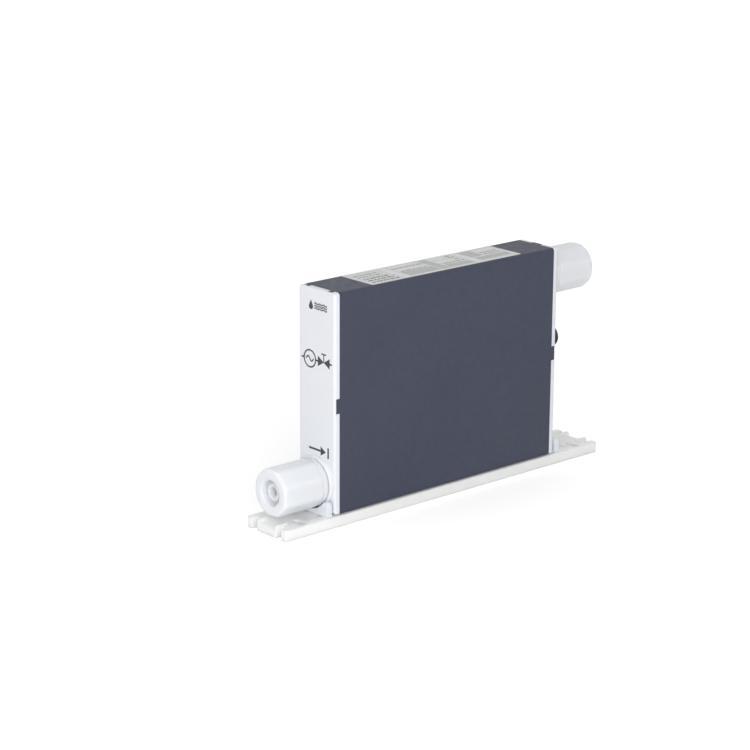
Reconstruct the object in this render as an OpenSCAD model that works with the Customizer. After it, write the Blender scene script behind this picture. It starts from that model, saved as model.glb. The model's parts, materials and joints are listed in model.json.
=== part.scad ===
// Slim electric flow controller for tubing: a flat upright body with a grey
// cover between two white end panels, standing on a slotted base rail.
// X runs with the flow from inlet to outlet, Z is up, and the origin lies
// at the middle of the base rail's underside. Lengths are millimetres.

/* [Body] */
// Length of the body from panel face to panel face
body_l = 164; // [158:1:190]
// Width of the body
body_w = 29; // [28.5:0.5:34]
// Height of the body
body_h = 120; // [116:1:150]
// Wall of the cover
cover_wall = 1.4; // [1:0.1:1.8]
// Radius along the cover's long top edges
top_edge_r = 1.8; // [1:0.1:3]
// Air gap between the base rail and the body's lower edge
body_gap = 0.6; // [0.3:0.1:1]

/* [Panels] */
// Depth of a panel's rim outside the cover
rim_t = 3.4; // [3:0.1:5]
// Thickness of a panel's face
face_t = 2; // [1.6:0.1:2.5]
// Depth that a panel's skirt enters the cover
skirt_l = 5; // [3:0.5:6]
// Wall of a panel's skirt
skirt_wall = 1.5; // [1:0.1:1.8]
// Clearance between a skirt and the cover
skirt_gap = 0.15; // [0.1:0.05:0.3]
// Radius round a panel's face
face_edge_r = 1.4; // [0.8:0.1:2]
// Outer radius of the raised ring round the inlet
ring_r = 13.8; // [13.5:0.1:14]
// Height of the raised ring round the inlet
ring_h = 2.2; // [1:0.1:2.4]
// Bevel round the raised ring
ring_bevel = 0.9; // [0.3:0.1:1]

/* [Cover tabs] */
// Height of a side tab
side_tab_h = 8; // [5:0.5:12]
// Length of a tab past the cover's end
tab_l = 2.2; // [1:0.1:2.6]
// Width of each of the two top tabs at the inlet
inlet_tab_w = 3.4; // [2:0.1:5]
// Distance of the inlet's top tabs from the middle
inlet_tab_y = 9.2; // [7:0.1:9.5]
// Width of the single top tab at the outlet
outlet_tab_w = 7.2; // [5:0.1:10]

/* [Base rail] */
// Length of the base rail past the body at each end
base_end_l = 34.5; // [32:0.5:50]
// Width of the base rail
base_w = 32; // [31:0.5:40]
// Height of the base rail
base_h = 6; // [5:0.1:7]
// Outer wall of the base rail's hollow underside
base_wall = 2.2; // [1.6:0.1:3]
// Thickness of the deck over the hollow underside
deck_t = 2; // [1.6:0.1:2.5]
// Width of the ribs under the deck
rib_t = 1.8; // [1.2:0.1:2.5]
// Width of a mounting slot, along the rail
slot_w = 4.5; // [4.2:0.1:5.5]
// Length of a mounting slot, across the rail
slot_l = 9; // [7:0.5:10]
// Distance of a mounting slot's middle from the rail's end
slot_in = 14.5; // [13:0.1:16]
// Wall between a mounting slot and the rail's side
slot_edge = 2; // [1.6:0.1:3]
// Width of the tongue at each end of the rail
tongue_w = 15.6; // [14:0.1:16]
// Width of the notch on each side of the tongue
notch_w = 4.2; // [3:0.1:4.5]
// Depth of those notches along the rail
notch_l = 3.5; // [2:0.1:5]

/* [End clips] */
// Height of a clip above the base rail
clip_h = 7.9; // [6:0.1:9]
// Distance of a clip's end from the body's side
clip_in = 0.3; // [0.1:0.1:1.5]
// Thickness of a clip's wall
clip_t = 3.6; // [3:0.1:4]
// Gap between a clip's wall and the panel
clip_gap = 1.6; // [1:0.1:2]

/* [Ports] */
// Height of the inlet's axis above the body's lower edge
inlet_up = 15.6; // [15.2:0.1:20]
// Depth of the outlet's axis below the body's top
outlet_drop = 17; // [16:0.1:20]
// Bore of the flow path
bore_r = 3; // [2:0.1:3.2]
// Outer radius of the tubing
tube_r = 4.75; // [4.5:0.05:4.8]
// Outer radius of the fittings' thread
thread_r = 9.6; // [9.2:0.1:9.8]
// Length of a union nut
nut_l = 29.1; // [27:0.1:30]
// Half of a union nut's width across flats
nut_flat_r = 12.5; // [12.2:0.1:12.6]
// Radius that rounds off a union nut's corners
nut_corner_r = 13.15; // [12.9:0.05:13.2]
// Gap between the inlet panel and its nut
inlet_nut_gap = 2.8; // [2.6:0.1:3.5]
// Gap between the outlet panel and its nut
outlet_nut_gap = 1.5; // [1:0.1:2]

/* [Connector and lamps] */
// Radius of the connector's thread
connector_r = 6; // [5.8:0.1:6.2]
// Length of the connector outside the panel
connector_l = 11; // [9:0.5:13]
// Radius of the connector's flange
connector_flange_r = 8.2; // [7.6:0.1:8.6]
// Height of the lamp bezel
bezel_h = 16.8; // [15:0.1:20]
// Width of the lamp bezel
bezel_w = 6.7; // [6:0.1:8]
// Distance between lamps
lamp_pitch = 4.3; // [4.1:0.1:5]
// Radius of a lamp
lamp_r = 1.7; // [1.4:0.05:1.8]
// Height of the middle lamp above the body's lower edge
lamp_up = 28.1; // [26:0.1:32]
// Distance of the lamps from the middle of the panel
lamp_y = 5.6; // [4:0.1:6]

/* [Label] */
// Length of the label on the cover
label_l = 109; // [80:1:120]
// Margin between the label and the cover's sides
label_in = 1.9; // [1.9:0.1:4]
// Thickness of the label
label_t = 0.2; // [0.1:0.05:0.3]
// Radius of the label's corners
label_r = 1; // [0.5:0.1:2]

/* [Valve] */
// Travel of the valve stem from nearly shut to open
stem_travel = 3; // [1:0.5:3]
// Radius of the lead screw
screw_r = 1.5; // [1.2:0.1:1.6]
// Length of the motor's can
motor_l = 24; // [22:0.5:26]

/* [Hidden] */
$fn = 64;

// One overrun for every cut that goes through a face
over = 1;
// Running clearance of turning and sliding fits
run_gap = 0.06;
// Clearance of pieces that are pushed or screwed together
seat_gap = 0.1;

// Levels and planes of the whole part
base_l = body_l + 2 * base_end_l;
slot_x = base_l / 2 - slot_in;
slot_pitch_y = base_w - 2 * slot_edge - slot_l;
deck_z = base_h;
body_z = deck_z + body_gap;
top_z = body_z + body_h;
face_x = body_l / 2;
seam_x = face_x - rim_t;
inlet_z = body_z + inlet_up;
outlet_z = top_z - outlet_drop;
lamp_z = body_z + lamp_up;
connector_share = 0.5375;
connector_z = body_z + connector_share * body_h;
tab_share = 0.494;
tab_z = body_z + tab_share * body_h;
tab_gap = 0.1;

// Room inside the cover and inside the panels' skirts
cover_in = body_w / 2 - cover_wall;
skirt_out = cover_in - skirt_gap;
skirt_in = skirt_out - skirt_wall;
floor_t = 2;
floor_z = body_z + floor_t;

// Fittings and nuts, measured outward from where the nut starts
nose_l = 1.5;
nose_r = 8.4;
nose_drop = 0.2;
socket_r = 6.2;
socket_l = 6.5;
fitting_flange_t = 4;
fitting_flange_r = min(skirt_in, inlet_up - floor_t) - 2 * seat_gap;
inlet_tail_l = 16;
collar_l = 3;
collar_r = 12.9;
groove_l = 0.8;
groove_r = 12.5;
nut_round = 1.8;
mouth_r = 7.2;
mouth_l = 5;
nut_wall_l = 1.6;
nut_hole_gap = 0.35;
bulb_r = 7.4;
bulb_gap = 0.3;
bulb_room = 3;
thread_l = nut_l - mouth_l - nut_wall_l - bulb_room - nose_l;
tube_inset = 2.2;
arc_steps = 5;
nut_sides = 8;
nut_half_side = 180 / nut_sides;

// Valve train along the outlet's axis; every x below is measured from the valve body's outlet face
valve_x = face_x - face_t - fitting_flange_t - fitting_flange_t - face_t;
valve_l = 30;
valve_h = 32;
valve_top_in = 2;
valve_side = 2.1;
valve_in = cover_in - valve_side;
seat_l = 4;
seat_r = 2.4;
outlet_bore_l = 9;
chamber_r = 7;
port_in = 20;
bonnet_t = 6;
bonnet_boss_l = 5;
bonnet_side = 2 * valve_in;
seal_l = 3;
seal_r = 5.4;
guide_r = 2.9;
guide_hole_l = 5;
guide_grip = 1.5;
plunger_r = 3.5;
cone_l = 5.3;
cone_tip_r = 1.3;
cone_gap = 0.3;
motor_wall = 2.8;
motor_side = 3.1;
motor_r = cover_in - motor_side;
motor_flange_t = 1.5;
rotor_r = 6;
rotor_gap = 0.5;
magnet_gap = 1;
hub_r = 3.4;
shoulder_r = 4.2;
shoulder_gap = 0.1;
bush_r = 4.5;
bush_l = 2.2;
stem_tail_l = 6;
motor_screw_edge = 2.3;
motor_screw_in = valve_in - motor_screw_edge;
motor_screw_r = 1.25;
motor_screw_head_r = 2;
motor_screw_head_l = 1.6;
motor_screw_l = 14;
screw_end_gap = 1;
valve_face_x = valve_x - valve_l;
motor_x = valve_face_x - bonnet_t;
seat_x = valve_x - outlet_bore_l;
port_x = valve_x - port_in;

// Flow meter
bend_r = 16;
transducer_l = 14;
transducer_side = 2.2;
transducer_top = 10.5;
transducer_in = 29.4;
transducer_bend_gap = 25.8;
upstream_x = -seam_x + transducer_in;
downstream_x = port_x - bend_r - transducer_bend_gap;
back_r = 2;

// Frame plate with its folded feet
plate_t = 1.2;
plate_y = cover_in - plate_t - seat_gap - seat_gap - seat_gap;
plate_end_gap = 1;
plate_x0 = -seam_x + skirt_l + plate_end_gap;
plate_x1 = seam_x - skirt_l - plate_end_gap;
plate_top_gap = 2;
plate_top = top_z - cover_wall - plate_top_gap;
foot_l = 14;
foot_w = 10;
foot_gap = 0.4;
foot_x = [upstream_x + transducer_l / 2 + foot_gap + foot_l / 2, port_x];
relief_r = 7;
relief_pitch = 24;
relief_count = 2;

// Circuit boards
board_t = 1.6;
spacer_l = 5;
spacer_r = 2.5;
board_y = plate_y - spacer_l - board_t;
board_end_gap = 3;
board_x0 = -seam_x + skirt_l + board_end_gap;
board_gap = 5.6;
board_l = motor_x - motor_l - stem_tail_l - stem_travel - board_gap - board_x0;
board_low_gap = 3;
board_z = inlet_z + transducer_top + board_low_gap;
board_top_gap = 11.5;
board_h = top_z - cover_wall - board_top_gap - board_z;
board_hole_in = 4;
screw_r3 = 1.5;
head_r3 = 2.75;
head_l3 = 1.8;
end_board_in = 5.9;
end_board_side = 0.95;
end_board_w = 2 * (skirt_in - end_board_side);
end_board_up = 6;
end_board_z = floor_z + end_board_up;
end_board_top_gap = 3;
end_board_h = outlet_z - fitting_flange_r - end_board_top_gap - end_board_z;
end_post_r = 2.6;
end_post_z = 4;
led_l = 1.2;
led_side = 2.2;

// Connector
flange_t = 1.5;
hex_r = 7.6;
hex_l = 3;
neck_r = 5.2;
neck_l = 1.2;
socket_in_r = 4.6;
insert_r = 4.5;
insert_l = 7;
insert_step = 1;
shank_r = 3.4;
shell_tail = 1;
pin_r = 0.5;
pin_circle_r = 2.6;
pin_l = 5.6;
pin_count = 4;
key_w = 1.2;
key_h = 0.8;
key_in = 1;
connector_hole_r = 5.6;
lock_nut_r = 7.6;
lock_nut_l = 2.5;
seal_ring_t = 0.8;
seal_ring_in = 1;

// Lamps
bezel_t = 0.9;
bezel_in = 0.5;
bezel_r = 1.8;
pipe_l = 4.2;
pipe_out = 0.3;

// Underside of the base rail and its screws
rib_count = 8;
base_screw_in = 16.6;
base_screw_x = seam_x - base_screw_in;
base_boss_r = 4;
chassis_boss_r = 3.2;
chassis_boss_h = 5;
deck_pocket = 0.8;
deck_pocket_w = 20;
deck_pocket_l = 10;
ramp_l = 7;
ramp_drop = 1.8;
guide_rib_w = 1.5;
guide_rib_l = 8;
guide_rib_h = 0.8;
guide_rib_in = 0.5;
clip_x = face_x + clip_gap;
clip_w = body_w - 2 * clip_in;
foot_peg_r = 1.5;
foot_peg_l = 2.5;
foot_peg_y = 10.5;
rail_edge_r = 0.8;

// Shares of the clip's width and height along its top edge at the outlet
clip_y_share = [-0.5, -0.47, -0.4, -0.17, -0.1, -0.03, 0.04, 0.09, 0.14, 0.2, 0.27, 0.36, 0.47, 0.5];
clip_z_share = [0.7, 0.93, 1, 1, 0.95, 0.83, 0.74, 0.71, 0.74, 0.81, 0.87, 0.9, 0.88, 0.7];

// A box between two opposite corners
module block(from, to) {
    translate(from)
        cube([to.x - from.x, to.y - from.y, to.z - from.z]);
}

// A rod along X
module rod_x(r, x0, x1, y = 0, z = 0) {
    translate([x0, y, z])
        rotate([0, 90, 0])
            cylinder(r = r, h = x1 - x0);
}

// A rod along Y
module rod_y(r, y0, y1, x = 0, z = 0) {
    translate([x, y0, z])
        rotate([-90, 0, 0])
            cylinder(r = r, h = y1 - y0);
}

// A flat outline in Y and Z, drawn out along X
module along_x(x0, x1) {
    translate([x0, 0, 0])
        rotate([90, 0, 90])
            linear_extrude(x1 - x0)
                children();
}

// The body's outline in Y and Z, drawn in from its outside by an inset
module body_outline(inset = 0, low = 0) {
    half = body_w / 2 - inset;
    r = max(top_edge_r - inset, seat_gap);
    high = top_z - inset;
    translate([-half, body_z + low])
        square([2 * half, high - r - body_z - low]);
    translate([-half + r, body_z + low])
        square([2 * half - 2 * r, high - body_z - low]);
    for (s = [-1, 1])
        translate([s * (half - r), high - r])
            circle(r);
}

// A rectangle with round corners
module round_rect(w, h, r) {
    for (s = [-1, 1], t = [-1, 1])
        translate([s * (w / 2 - r), t * (h / 2 - r)])
            circle(r);
    square([w - 2 * r, h], center = true);
    square([w, h - 2 * r], center = true);
}

// A slot that runs along Y with round ends
module slot_outline(w, l) {
    for (s = [-1, 1])
        translate([0, s * (l - w) / 2])
            circle(w / 2);
    square([w, l - w], center = true);
}

// Puts a shape that is turned about Z on the inlet's or the outlet's axis, Z pointing out of the body
module at_port(side) {
    if (side > 0)
        translate([face_x, 0, outlet_z])
            rotate([0, 90, 0])
                children();
    else
        translate([-face_x, 0, inlet_z])
            mirror([1, 0, 0])
                rotate([0, 90, 0])
                    children();
}

// Slots, sides and tops of the cover's tabs, grown by a clearance for the panels' notches
module side_tabs(side, grow = 0) {
    for (s = [-1, 1])
        mirror([0, s > 0 ? 0 : 1, 0])
            block([side * seam_x - (side > 0 ? over : tab_l + grow), cover_in - grow,
                    tab_z - side_tab_h / 2 - grow],
                [side * seam_x + (side > 0 ? tab_l + grow : over), body_w / 2 + (grow > 0 ? over : 0),
                    tab_z + side_tab_h / 2 + grow]);
}

module top_tabs(side, grow = 0) {
    places = side > 0 ? [0] : [-inlet_tab_y, inlet_tab_y];
    w = side > 0 ? outlet_tab_w : inlet_tab_w;
    x0 = side * seam_x - (side > 0 ? over : tab_l + grow);
    x1 = side * seam_x + (side > 0 ? tab_l + grow : over);
    z1 = top_z + (grow > 0 ? over : 0);
    for (y = places)
        block([x0, y - w / 2 - grow, top_z - cover_wall - grow], [x1, y + w / 2 + grow, z1]);
}

module cover() {
    color("#50545f") {
        difference() {
            along_x(-seam_x, seam_x)
                body_outline();
            along_x(-seam_x - over, seam_x + over)
                body_outline(inset = cover_wall, low = -over);
        }
        side_tabs(1);
        side_tabs(-1);
        top_tabs(1);
        top_tabs(-1);
    }
}

// A panel without its openings, facing +X
module panel_cap() {
    difference() {
        union() {
            intersection() {
                along_x(seam_x, face_x)
                    body_outline();
                translate([0, 0, body_z - over])
                    linear_extrude(body_h + 2 * over)
                        intersection() {
                            translate([face_x - body_w / 2, 0])
                                round_rect(body_w, body_w, face_edge_r);
                            translate([seam_x, -body_w / 2])
                                square([rim_t, body_w]);
                        }
                translate([0, body_w / 2 + over, 0])
                    rotate([90, 0, 0])
                        linear_extrude(body_w + 2 * over)
                            translate([face_x - body_h / 2, body_z + body_h / 2])
                                round_rect(body_h, body_h, face_edge_r);
            }
            along_x(seam_x - skirt_l, seam_x + face_t / 2)
                difference() {
                    body_outline(inset = cover_wall + skirt_gap, low = floor_t);
                    body_outline(inset = cover_wall + skirt_gap + skirt_wall, low = -over);
                }
        }
        along_x(seam_x - skirt_l - over, face_x - face_t)
            body_outline(inset = cover_wall + skirt_gap + skirt_wall, low = floor_t);
    }
}

module inlet_panel() {
    color("#f2f3f5")
        difference() {
            union() {
                mirror([1, 0, 0])
                    panel_cap();
                at_port(-1)
                    translate([0, 0, -face_t / 2])
                        rotate_extrude()
                            polygon([
                                [thread_r, 0],
                                [ring_r, 0],
                                [ring_r, face_t / 2 + ring_h - ring_bevel],
                                [ring_r - ring_bevel, face_t / 2 + ring_h],
                                [thread_r, face_t / 2 + ring_h],
                            ]);
            }
            side_tabs(-1, tab_gap);
            top_tabs(-1, tab_gap);
            rod_x(thread_r + seat_gap, -face_x - ring_h - over, -face_x + face_t + over, z = inlet_z);
        }
}

module outlet_panel() {
    color("#f2f3f5") {
        difference() {
            panel_cap();
            side_tabs(1, tab_gap);
            top_tabs(1, tab_gap);
            rod_x(thread_r + seat_gap, face_x - face_t - over, face_x + over, z = outlet_z);
            rod_x(connector_hole_r + seat_gap, face_x - face_t - over, face_x + over, z = connector_z);
            along_x(face_x - bezel_in, face_x + over)
                translate([-lamp_y, lamp_z])
                    round_rect(bezel_w + 2 * seat_gap, bezel_h + 2 * seat_gap, bezel_r);
            for (i = [-1, 0, 1])
                rod_x(lamp_r + seat_gap, face_x - face_t - over, face_x,
                    y = -lamp_y, z = lamp_z + i * lamp_pitch);
        }
        for (z = [end_board_z + end_post_z, end_board_z + end_board_h - end_post_z])
            difference() {
                rod_x(end_post_r, face_x - end_board_in, face_x - face_t / 2, z = z);
                rod_x(screw_r3 - seat_gap, face_x - end_board_in - over, face_x - face_t, z = z);
            }
    }
}

// Underside pocket between ribs; the deck stays over it
module under_pocket(x0, x1, y0, y1) {
    block([x0, y0, -over], [x1, y1, base_h - deck_t]);
}

module base_end_cuts() {
    for (s = [-1, 1]) {
        notch_y = s * (tongue_w / 2 + notch_w / 2);
        block([base_l / 2 - notch_l, notch_y - notch_w / 2, -over],
            [base_l / 2 + over, notch_y + notch_w / 2, base_h + over]);
        translate([slot_x, s * slot_pitch_y / 2, -over])
            linear_extrude(base_h + 2 * over)
                slot_outline(slot_w, slot_l);
        translate([clip_x + clip_t / 2, s * foot_peg_y, base_h - foot_peg_l - seat_gap])
            cylinder(r = foot_peg_r + seat_gap, h = foot_peg_l + over);
    }
    ramp_half = tongue_w / 2 - guide_rib_w;
    translate([0, ramp_half, 0])
        rotate([90, 0, 0])
            linear_extrude(2 * ramp_half)
                polygon([
                    [base_l / 2 - ramp_l, base_h],
                    [base_l / 2 + over, base_h - ramp_drop],
                    [base_l / 2 + over, base_h + over],
                    [base_l / 2 - ramp_l, base_h + over],
                ]);
    block([clip_x + clip_t, -deck_pocket_w / 2, base_h - deck_pocket],
        [clip_x + clip_t + deck_pocket_l, deck_pocket_w / 2, base_h + over]);
    tip_pocket_w = slot_pitch_y - slot_l - 2 * base_wall;
    under_pocket(slot_x - slot_w, base_l / 2 - ramp_l, -tip_pocket_w / 2, tip_pocket_w / 2);
}

// Two low ribs along the sides of the tongue at one end of the rail
module guide_ribs() {
    for (s = [-1, 1])
        mirror([0, s > 0 ? 0 : 1, 0])
            block([base_l / 2 - guide_rib_l, tongue_w / 2 - guide_rib_w, base_h - guide_rib_h],
                [base_l / 2 - guide_rib_in, tongue_w / 2, base_h + guide_rib_h]);
}

module base_rail() {
    pocket_x0 = -face_x - clip_gap;
    pitch = 2 * (face_x + clip_gap) / rib_count;
    row_w = (base_w - 2 * base_wall - rib_t) / 2;
    color("#eeeeea")
        difference() {
            union() {
                linear_extrude(base_h)
                    round_rect(base_l, base_w, rail_edge_r);
                guide_ribs();
                mirror([1, 0, 0])
                    guide_ribs();
            }
            for (i = [0 : rib_count - 1], s = [-1, 1])
                under_pocket(pocket_x0 + i * pitch + rib_t / 2, pocket_x0 + (i + 1) * pitch - rib_t / 2,
                    s * (rib_t / 2 + row_w / 2) - row_w / 2, s * (rib_t / 2 + row_w / 2) + row_w / 2);
            base_end_cuts();
            mirror([1, 0, 0])
                base_end_cuts();
            for (s = [-1, 1])
                translate([s * base_screw_x, 0, -over])
                    cylinder(r = screw_r3 + seat_gap, h = base_h + 2 * over);
            for (s = [-1, 1])
                translate([s * base_screw_x, 0, -over])
                    cylinder(r = head_r3 + seat_gap, h = over + base_h - deck_t - head_l3 / 2);
        }
}

// A clip that holds the body's foot at one end; the cradle is the room under a port, zero for none
module clip(cradle_r, cradle_z) {
    top_pts = [for (i = [0 : len(clip_y_share) - 1])
        [clip_y_share[i] * clip_w, deck_z + clip_z_share[i] * clip_h]];
    bottom_pts = [[clip_w / 2, deck_z], [-clip_w / 2, deck_z]];
    web_w = clip_w - 2 * clip_t - 2 * clip_gap;
    difference() {
        union() {
            along_x(clip_x, clip_x + clip_t)
                polygon(concat(top_pts, bottom_pts));
            along_x(face_x, clip_x + clip_t / 2)
                intersection() {
                    polygon(concat(top_pts, bottom_pts));
                    translate([-web_w / 2, body_z])
                        square([web_w, clip_h / 2]);
                }
            for (s = [-1, 1])
                translate([clip_x + clip_t / 2, s * foot_peg_y, deck_z - foot_peg_l])
                    cylinder(r = foot_peg_r, h = foot_peg_l + over);
        }
        if (cradle_r > 0)
            rod_x(cradle_r, face_x - over, clip_x + clip_t + over, z = cradle_z);
    }
}

module inlet_clip() {
    color("#f0f1f5")
        mirror([1, 0, 0])
            clip(ring_r + seat_gap + seat_gap, inlet_z);
}

module outlet_clip() {
    color("#f0f1f5")
        clip(0, 0);
}

module chassis() {
    color("#2f3236")
        difference() {
            union() {
                block([-seam_x + seat_gap, -skirt_in + seat_gap, body_z],
                    [seam_x - seat_gap, skirt_in - seat_gap, floor_z]);
                for (s = [-1, 1])
                    translate([s * base_screw_x, 0, body_z])
                        cylinder(r = chassis_boss_r, h = floor_t + chassis_boss_h);
                for (s = [-1, 1])
                    translate([s * base_screw_x, 0, deck_z])
                        cylinder(r = chassis_boss_r, h = floor_t);
            }
            for (s = [-1, 1])
                translate([s * base_screw_x, 0, deck_z - over])
                    cylinder(r = screw_r3, h = floor_t + chassis_boss_h + over);
            for (x = foot_x, q = [-1, 1])
                translate([x + q * foot_l / 4, plate_y - foot_w / 2, body_z - over])
                    cylinder(r = screw_r3, h = floor_t + 2 * over);
        }
}

module base_screws() {
    head_z = base_h - deck_t - head_l3 / 2;
    color("#b8babd")
        for (s = [-1, 1])
            translate([s * base_screw_x, 0, 0]) {
                translate([0, 0, head_z - head_l3])
                    cylinder(r = head_r3, h = head_l3);
                translate([0, 0, head_z - head_l3 / 2])
                    cylinder(r = screw_r3 - run_gap, h = floor_z + chassis_boss_h - head_z - head_l3 / 2);
            }
}

module rating_label() {
    color("#c9ccd0")
        translate([0, 0, top_z])
            linear_extrude(label_t)
                round_rect(label_l, body_w - 2 * label_in, label_r);
}

// Threaded union body: a flange behind the panel, a thread outside it and a tail towards the flow path
module fitting(side, nut_gap, tail_l) {
    flange_u = -face_t;
    thread_u = nut_gap + thread_l;
    at_port(side)
        rotate_extrude()
            polygon([
                [bore_r, -tail_l],
                [tube_r, -tail_l],
                [tube_r, flange_u - fitting_flange_t],
                [fitting_flange_r, flange_u - fitting_flange_t],
                [fitting_flange_r, flange_u],
                [thread_r, flange_u],
                [thread_r, thread_u],
                [nose_r, thread_u + nose_l],
                [socket_r + nose_drop, thread_u + nose_l],
                [socket_r, thread_u + nose_l - nose_drop],
                [socket_r, thread_u + nose_l - socket_l],
                [bore_r, thread_u + nose_l - socket_l],
            ]);
}

// Inner sleeve that the union nut presses into the fitting's socket
module sleeve(side, nut_gap) {
    seat_u = nut_gap + thread_l + nose_l;
    end_u = nut_gap + nut_l - tube_inset;
    at_port(side)
        rotate_extrude()
            polygon([
                [bore_r, seat_u - socket_l],
                [socket_r - seat_gap, seat_u - socket_l],
                [socket_r - seat_gap, seat_u],
                [bulb_r, seat_u],
                [bulb_r, seat_u + bulb_room / 2],
                [tube_r, seat_u + bulb_room - bulb_gap],
                [tube_r, end_u],
                [bore_r, end_u],
            ]);
}

// Union nut: a round collar at the root, eight flats with rounded corners and a rounded free end
module union_nut(side, nut_gap) {
    shoulder_u = nut_l - mouth_l - nut_wall_l;
    round_pts = [for (i = [0 : arc_steps])
        [nut_corner_r - nut_round + nut_round * cos(90 * i / arc_steps),
            nut_l - nut_round + nut_round * sin(90 * i / arc_steps)]];
    cap_pts = concat([[0, collar_l], [nut_corner_r, collar_l]], round_pts, [[0, nut_l]]);
    at_port(side)
        translate([0, 0, nut_gap])
            difference() {
                union() {
                    intersection() {
                        translate([0, 0, collar_l])
                            rotate([0, 0, nut_half_side])
                                cylinder(r = nut_flat_r / cos(nut_half_side), h = nut_l - collar_l,
                                    $fn = nut_sides);
                        rotate_extrude()
                            polygon(cap_pts);
                    }
                    rotate_extrude()
                        polygon([
                            [0, 0],
                            [collar_r - groove_l / 2, 0],
                            [collar_r, groove_l / 2],
                            [collar_r, collar_l - groove_l],
                            [groove_r, collar_l - groove_l],
                            [groove_r, collar_l + over],
                            [0, collar_l + over],
                        ]);
                }
                rotate_extrude()
                    polygon([
                        [0, -over],
                        [thread_r + run_gap, -over],
                        [thread_r + run_gap, thread_l + nose_l],
                        [bulb_r + bulb_gap, thread_l + nose_l],
                        [bulb_r + bulb_gap, shoulder_u],
                        [tube_r + nut_hole_gap, shoulder_u],
                        [tube_r + nut_hole_gap, nut_l - mouth_l],
                        [mouth_r, nut_l - mouth_l],
                        [mouth_r, nut_l + over],
                        [0, nut_l + over],
                    ]);
            }
}

module inlet_fitting() {
    color("#f4f4f2")
        fitting(-1, inlet_nut_gap, inlet_tail_l);
}

module outlet_fitting() {
    color("#f4f4f2")
        fitting(1, outlet_nut_gap, face_x - valve_x);
}

module inlet_sleeve() {
    color("#f4f4f2")
        sleeve(-1, inlet_nut_gap);
}

module outlet_sleeve() {
    color("#f4f4f2")
        sleeve(1, outlet_nut_gap);
}

module inlet_nut() {
    color("#eef0f2")
        union_nut(-1, inlet_nut_gap);
}

module outlet_nut() {
    color("#eef0f2")
        union_nut(1, outlet_nut_gap);
}

// Pipe from the inlet through both transducers, round one bend and up to the valve
module pipe_path(r) {
    rod_x(r, -face_x + inlet_tail_l, port_x - bend_r, z = inlet_z);
    translate([port_x - bend_r, 0, inlet_z + bend_r])
        rotate([-90, 0, 0])
            rotate_extrude(angle = 90)
                translate([bend_r, 0])
                    circle(r);
    translate([port_x, 0, inlet_z + bend_r])
        cylinder(r = r, h = outlet_z - valve_h / 2 - inlet_z - bend_r);
}

module measuring_tube() {
    color("#dfe6ea")
        difference() {
            pipe_path(tube_r);
            pipe_path(bore_r);
            rod_x(bore_r, -face_x + inlet_tail_l - over, -face_x + inlet_tail_l + over, z = inlet_z);
            translate([port_x, 0, outlet_z - valve_h / 2 - over])
                cylinder(r = bore_r, h = 2 * over);
        }
}

// Ultrasonic transducer in a block with a round back, clamped round the tube
module transducer(x) {
    half = cover_in - transducer_side;
    color("#3b3f45")
        difference() {
            along_x(x - transducer_l / 2, x + transducer_l / 2) {
                translate([-half, floor_z])
                    square([2 * half, inlet_z + transducer_top - back_r - floor_z]);
                translate([-half + back_r, floor_z])
                    square([2 * (half - back_r), inlet_z + transducer_top - floor_z]);
                for (s = [-1, 1])
                    translate([s * (half - back_r), inlet_z + transducer_top - back_r])
                        circle(back_r);
            }
            rod_x(tube_r + run_gap, x - transducer_l, x + transducer_l, z = inlet_z);
        }
}

module upstream_transducer() {
    transducer(upstream_x);
}

module downstream_transducer() {
    transducer(downstream_x);
}

// Upright sheet that carries the valve and the board, with two feet folded onto the chassis
module frame_plate() {
    color("#c3c7cb")
        difference() {
            union() {
                block([plate_x0, plate_y, floor_z], [plate_x1, plate_y + plate_t, plate_top]);
                for (x = foot_x)
                    block([x - foot_l / 2, plate_y - foot_w, floor_z],
                        [x + foot_l / 2, plate_y + plate_t / 2, floor_z + plate_t]);
            }
            for (x = foot_x, q = [-1, 1])
                translate([x + q * foot_l / 4, plate_y - foot_w / 2, floor_z - over])
                    cylinder(r = screw_r3 + seat_gap, h = plate_t + 2 * over);
            for (i = [0 : relief_count - 1])
                rod_y(relief_r, plate_y - over, plate_y + plate_t + over,
                    x = plate_x1 - relief_r - relief_r, z = inlet_z + bend_r + i * relief_pitch);
            for (p = board_holes())
                rod_y(screw_r3, plate_y - over, plate_y + plate_t + over, x = p.x, z = p.y);
        }
}

function board_holes() = [
    for (i = [board_hole_in, board_l - board_hole_in], j = [board_hole_in, board_h - board_hole_in])
        [board_x0 + i, board_z + j]
];

module frame_screws() {
    color("#b8babd")
        for (x = foot_x, q = [-1, 1])
            translate([x + q * foot_l / 4, plate_y - foot_w / 2, 0]) {
                translate([0, 0, body_z])
                    cylinder(r = screw_r3 - run_gap, h = floor_t + plate_t);
                translate([0, 0, floor_z + plate_t])
                    cylinder(r = head_r3, h = head_l3);
            }
}

// Block with the inlet port below, the valve chamber, the seat and the outlet bore
module valve_body() {
    color("#f6f6f4")
        difference() {
            block([valve_face_x, -valve_in, outlet_z - valve_h / 2],
                [valve_x, plate_y, outlet_z + valve_h / 2 - valve_top_in]);
            rod_x(chamber_r, valve_face_x - over, seat_x - seat_l, z = outlet_z);
            rod_x(seat_r, seat_x - seat_l - over, seat_x, z = outlet_z);
            rod_x(bore_r, seat_x, valve_x + over, z = outlet_z);
            translate([port_x, 0, outlet_z - valve_h / 2 - over])
                cylinder(r = bore_r, h = valve_h / 2 - chamber_r / 2 + over);
            for (s = [-1, 1], t = [-1, 1])
                rod_x(motor_screw_r, valve_face_x - over,
                    valve_face_x + motor_screw_l - bonnet_t - motor_flange_t,
                    y = s * motor_screw_in, z = outlet_z + t * motor_screw_in);
        }
}

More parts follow.
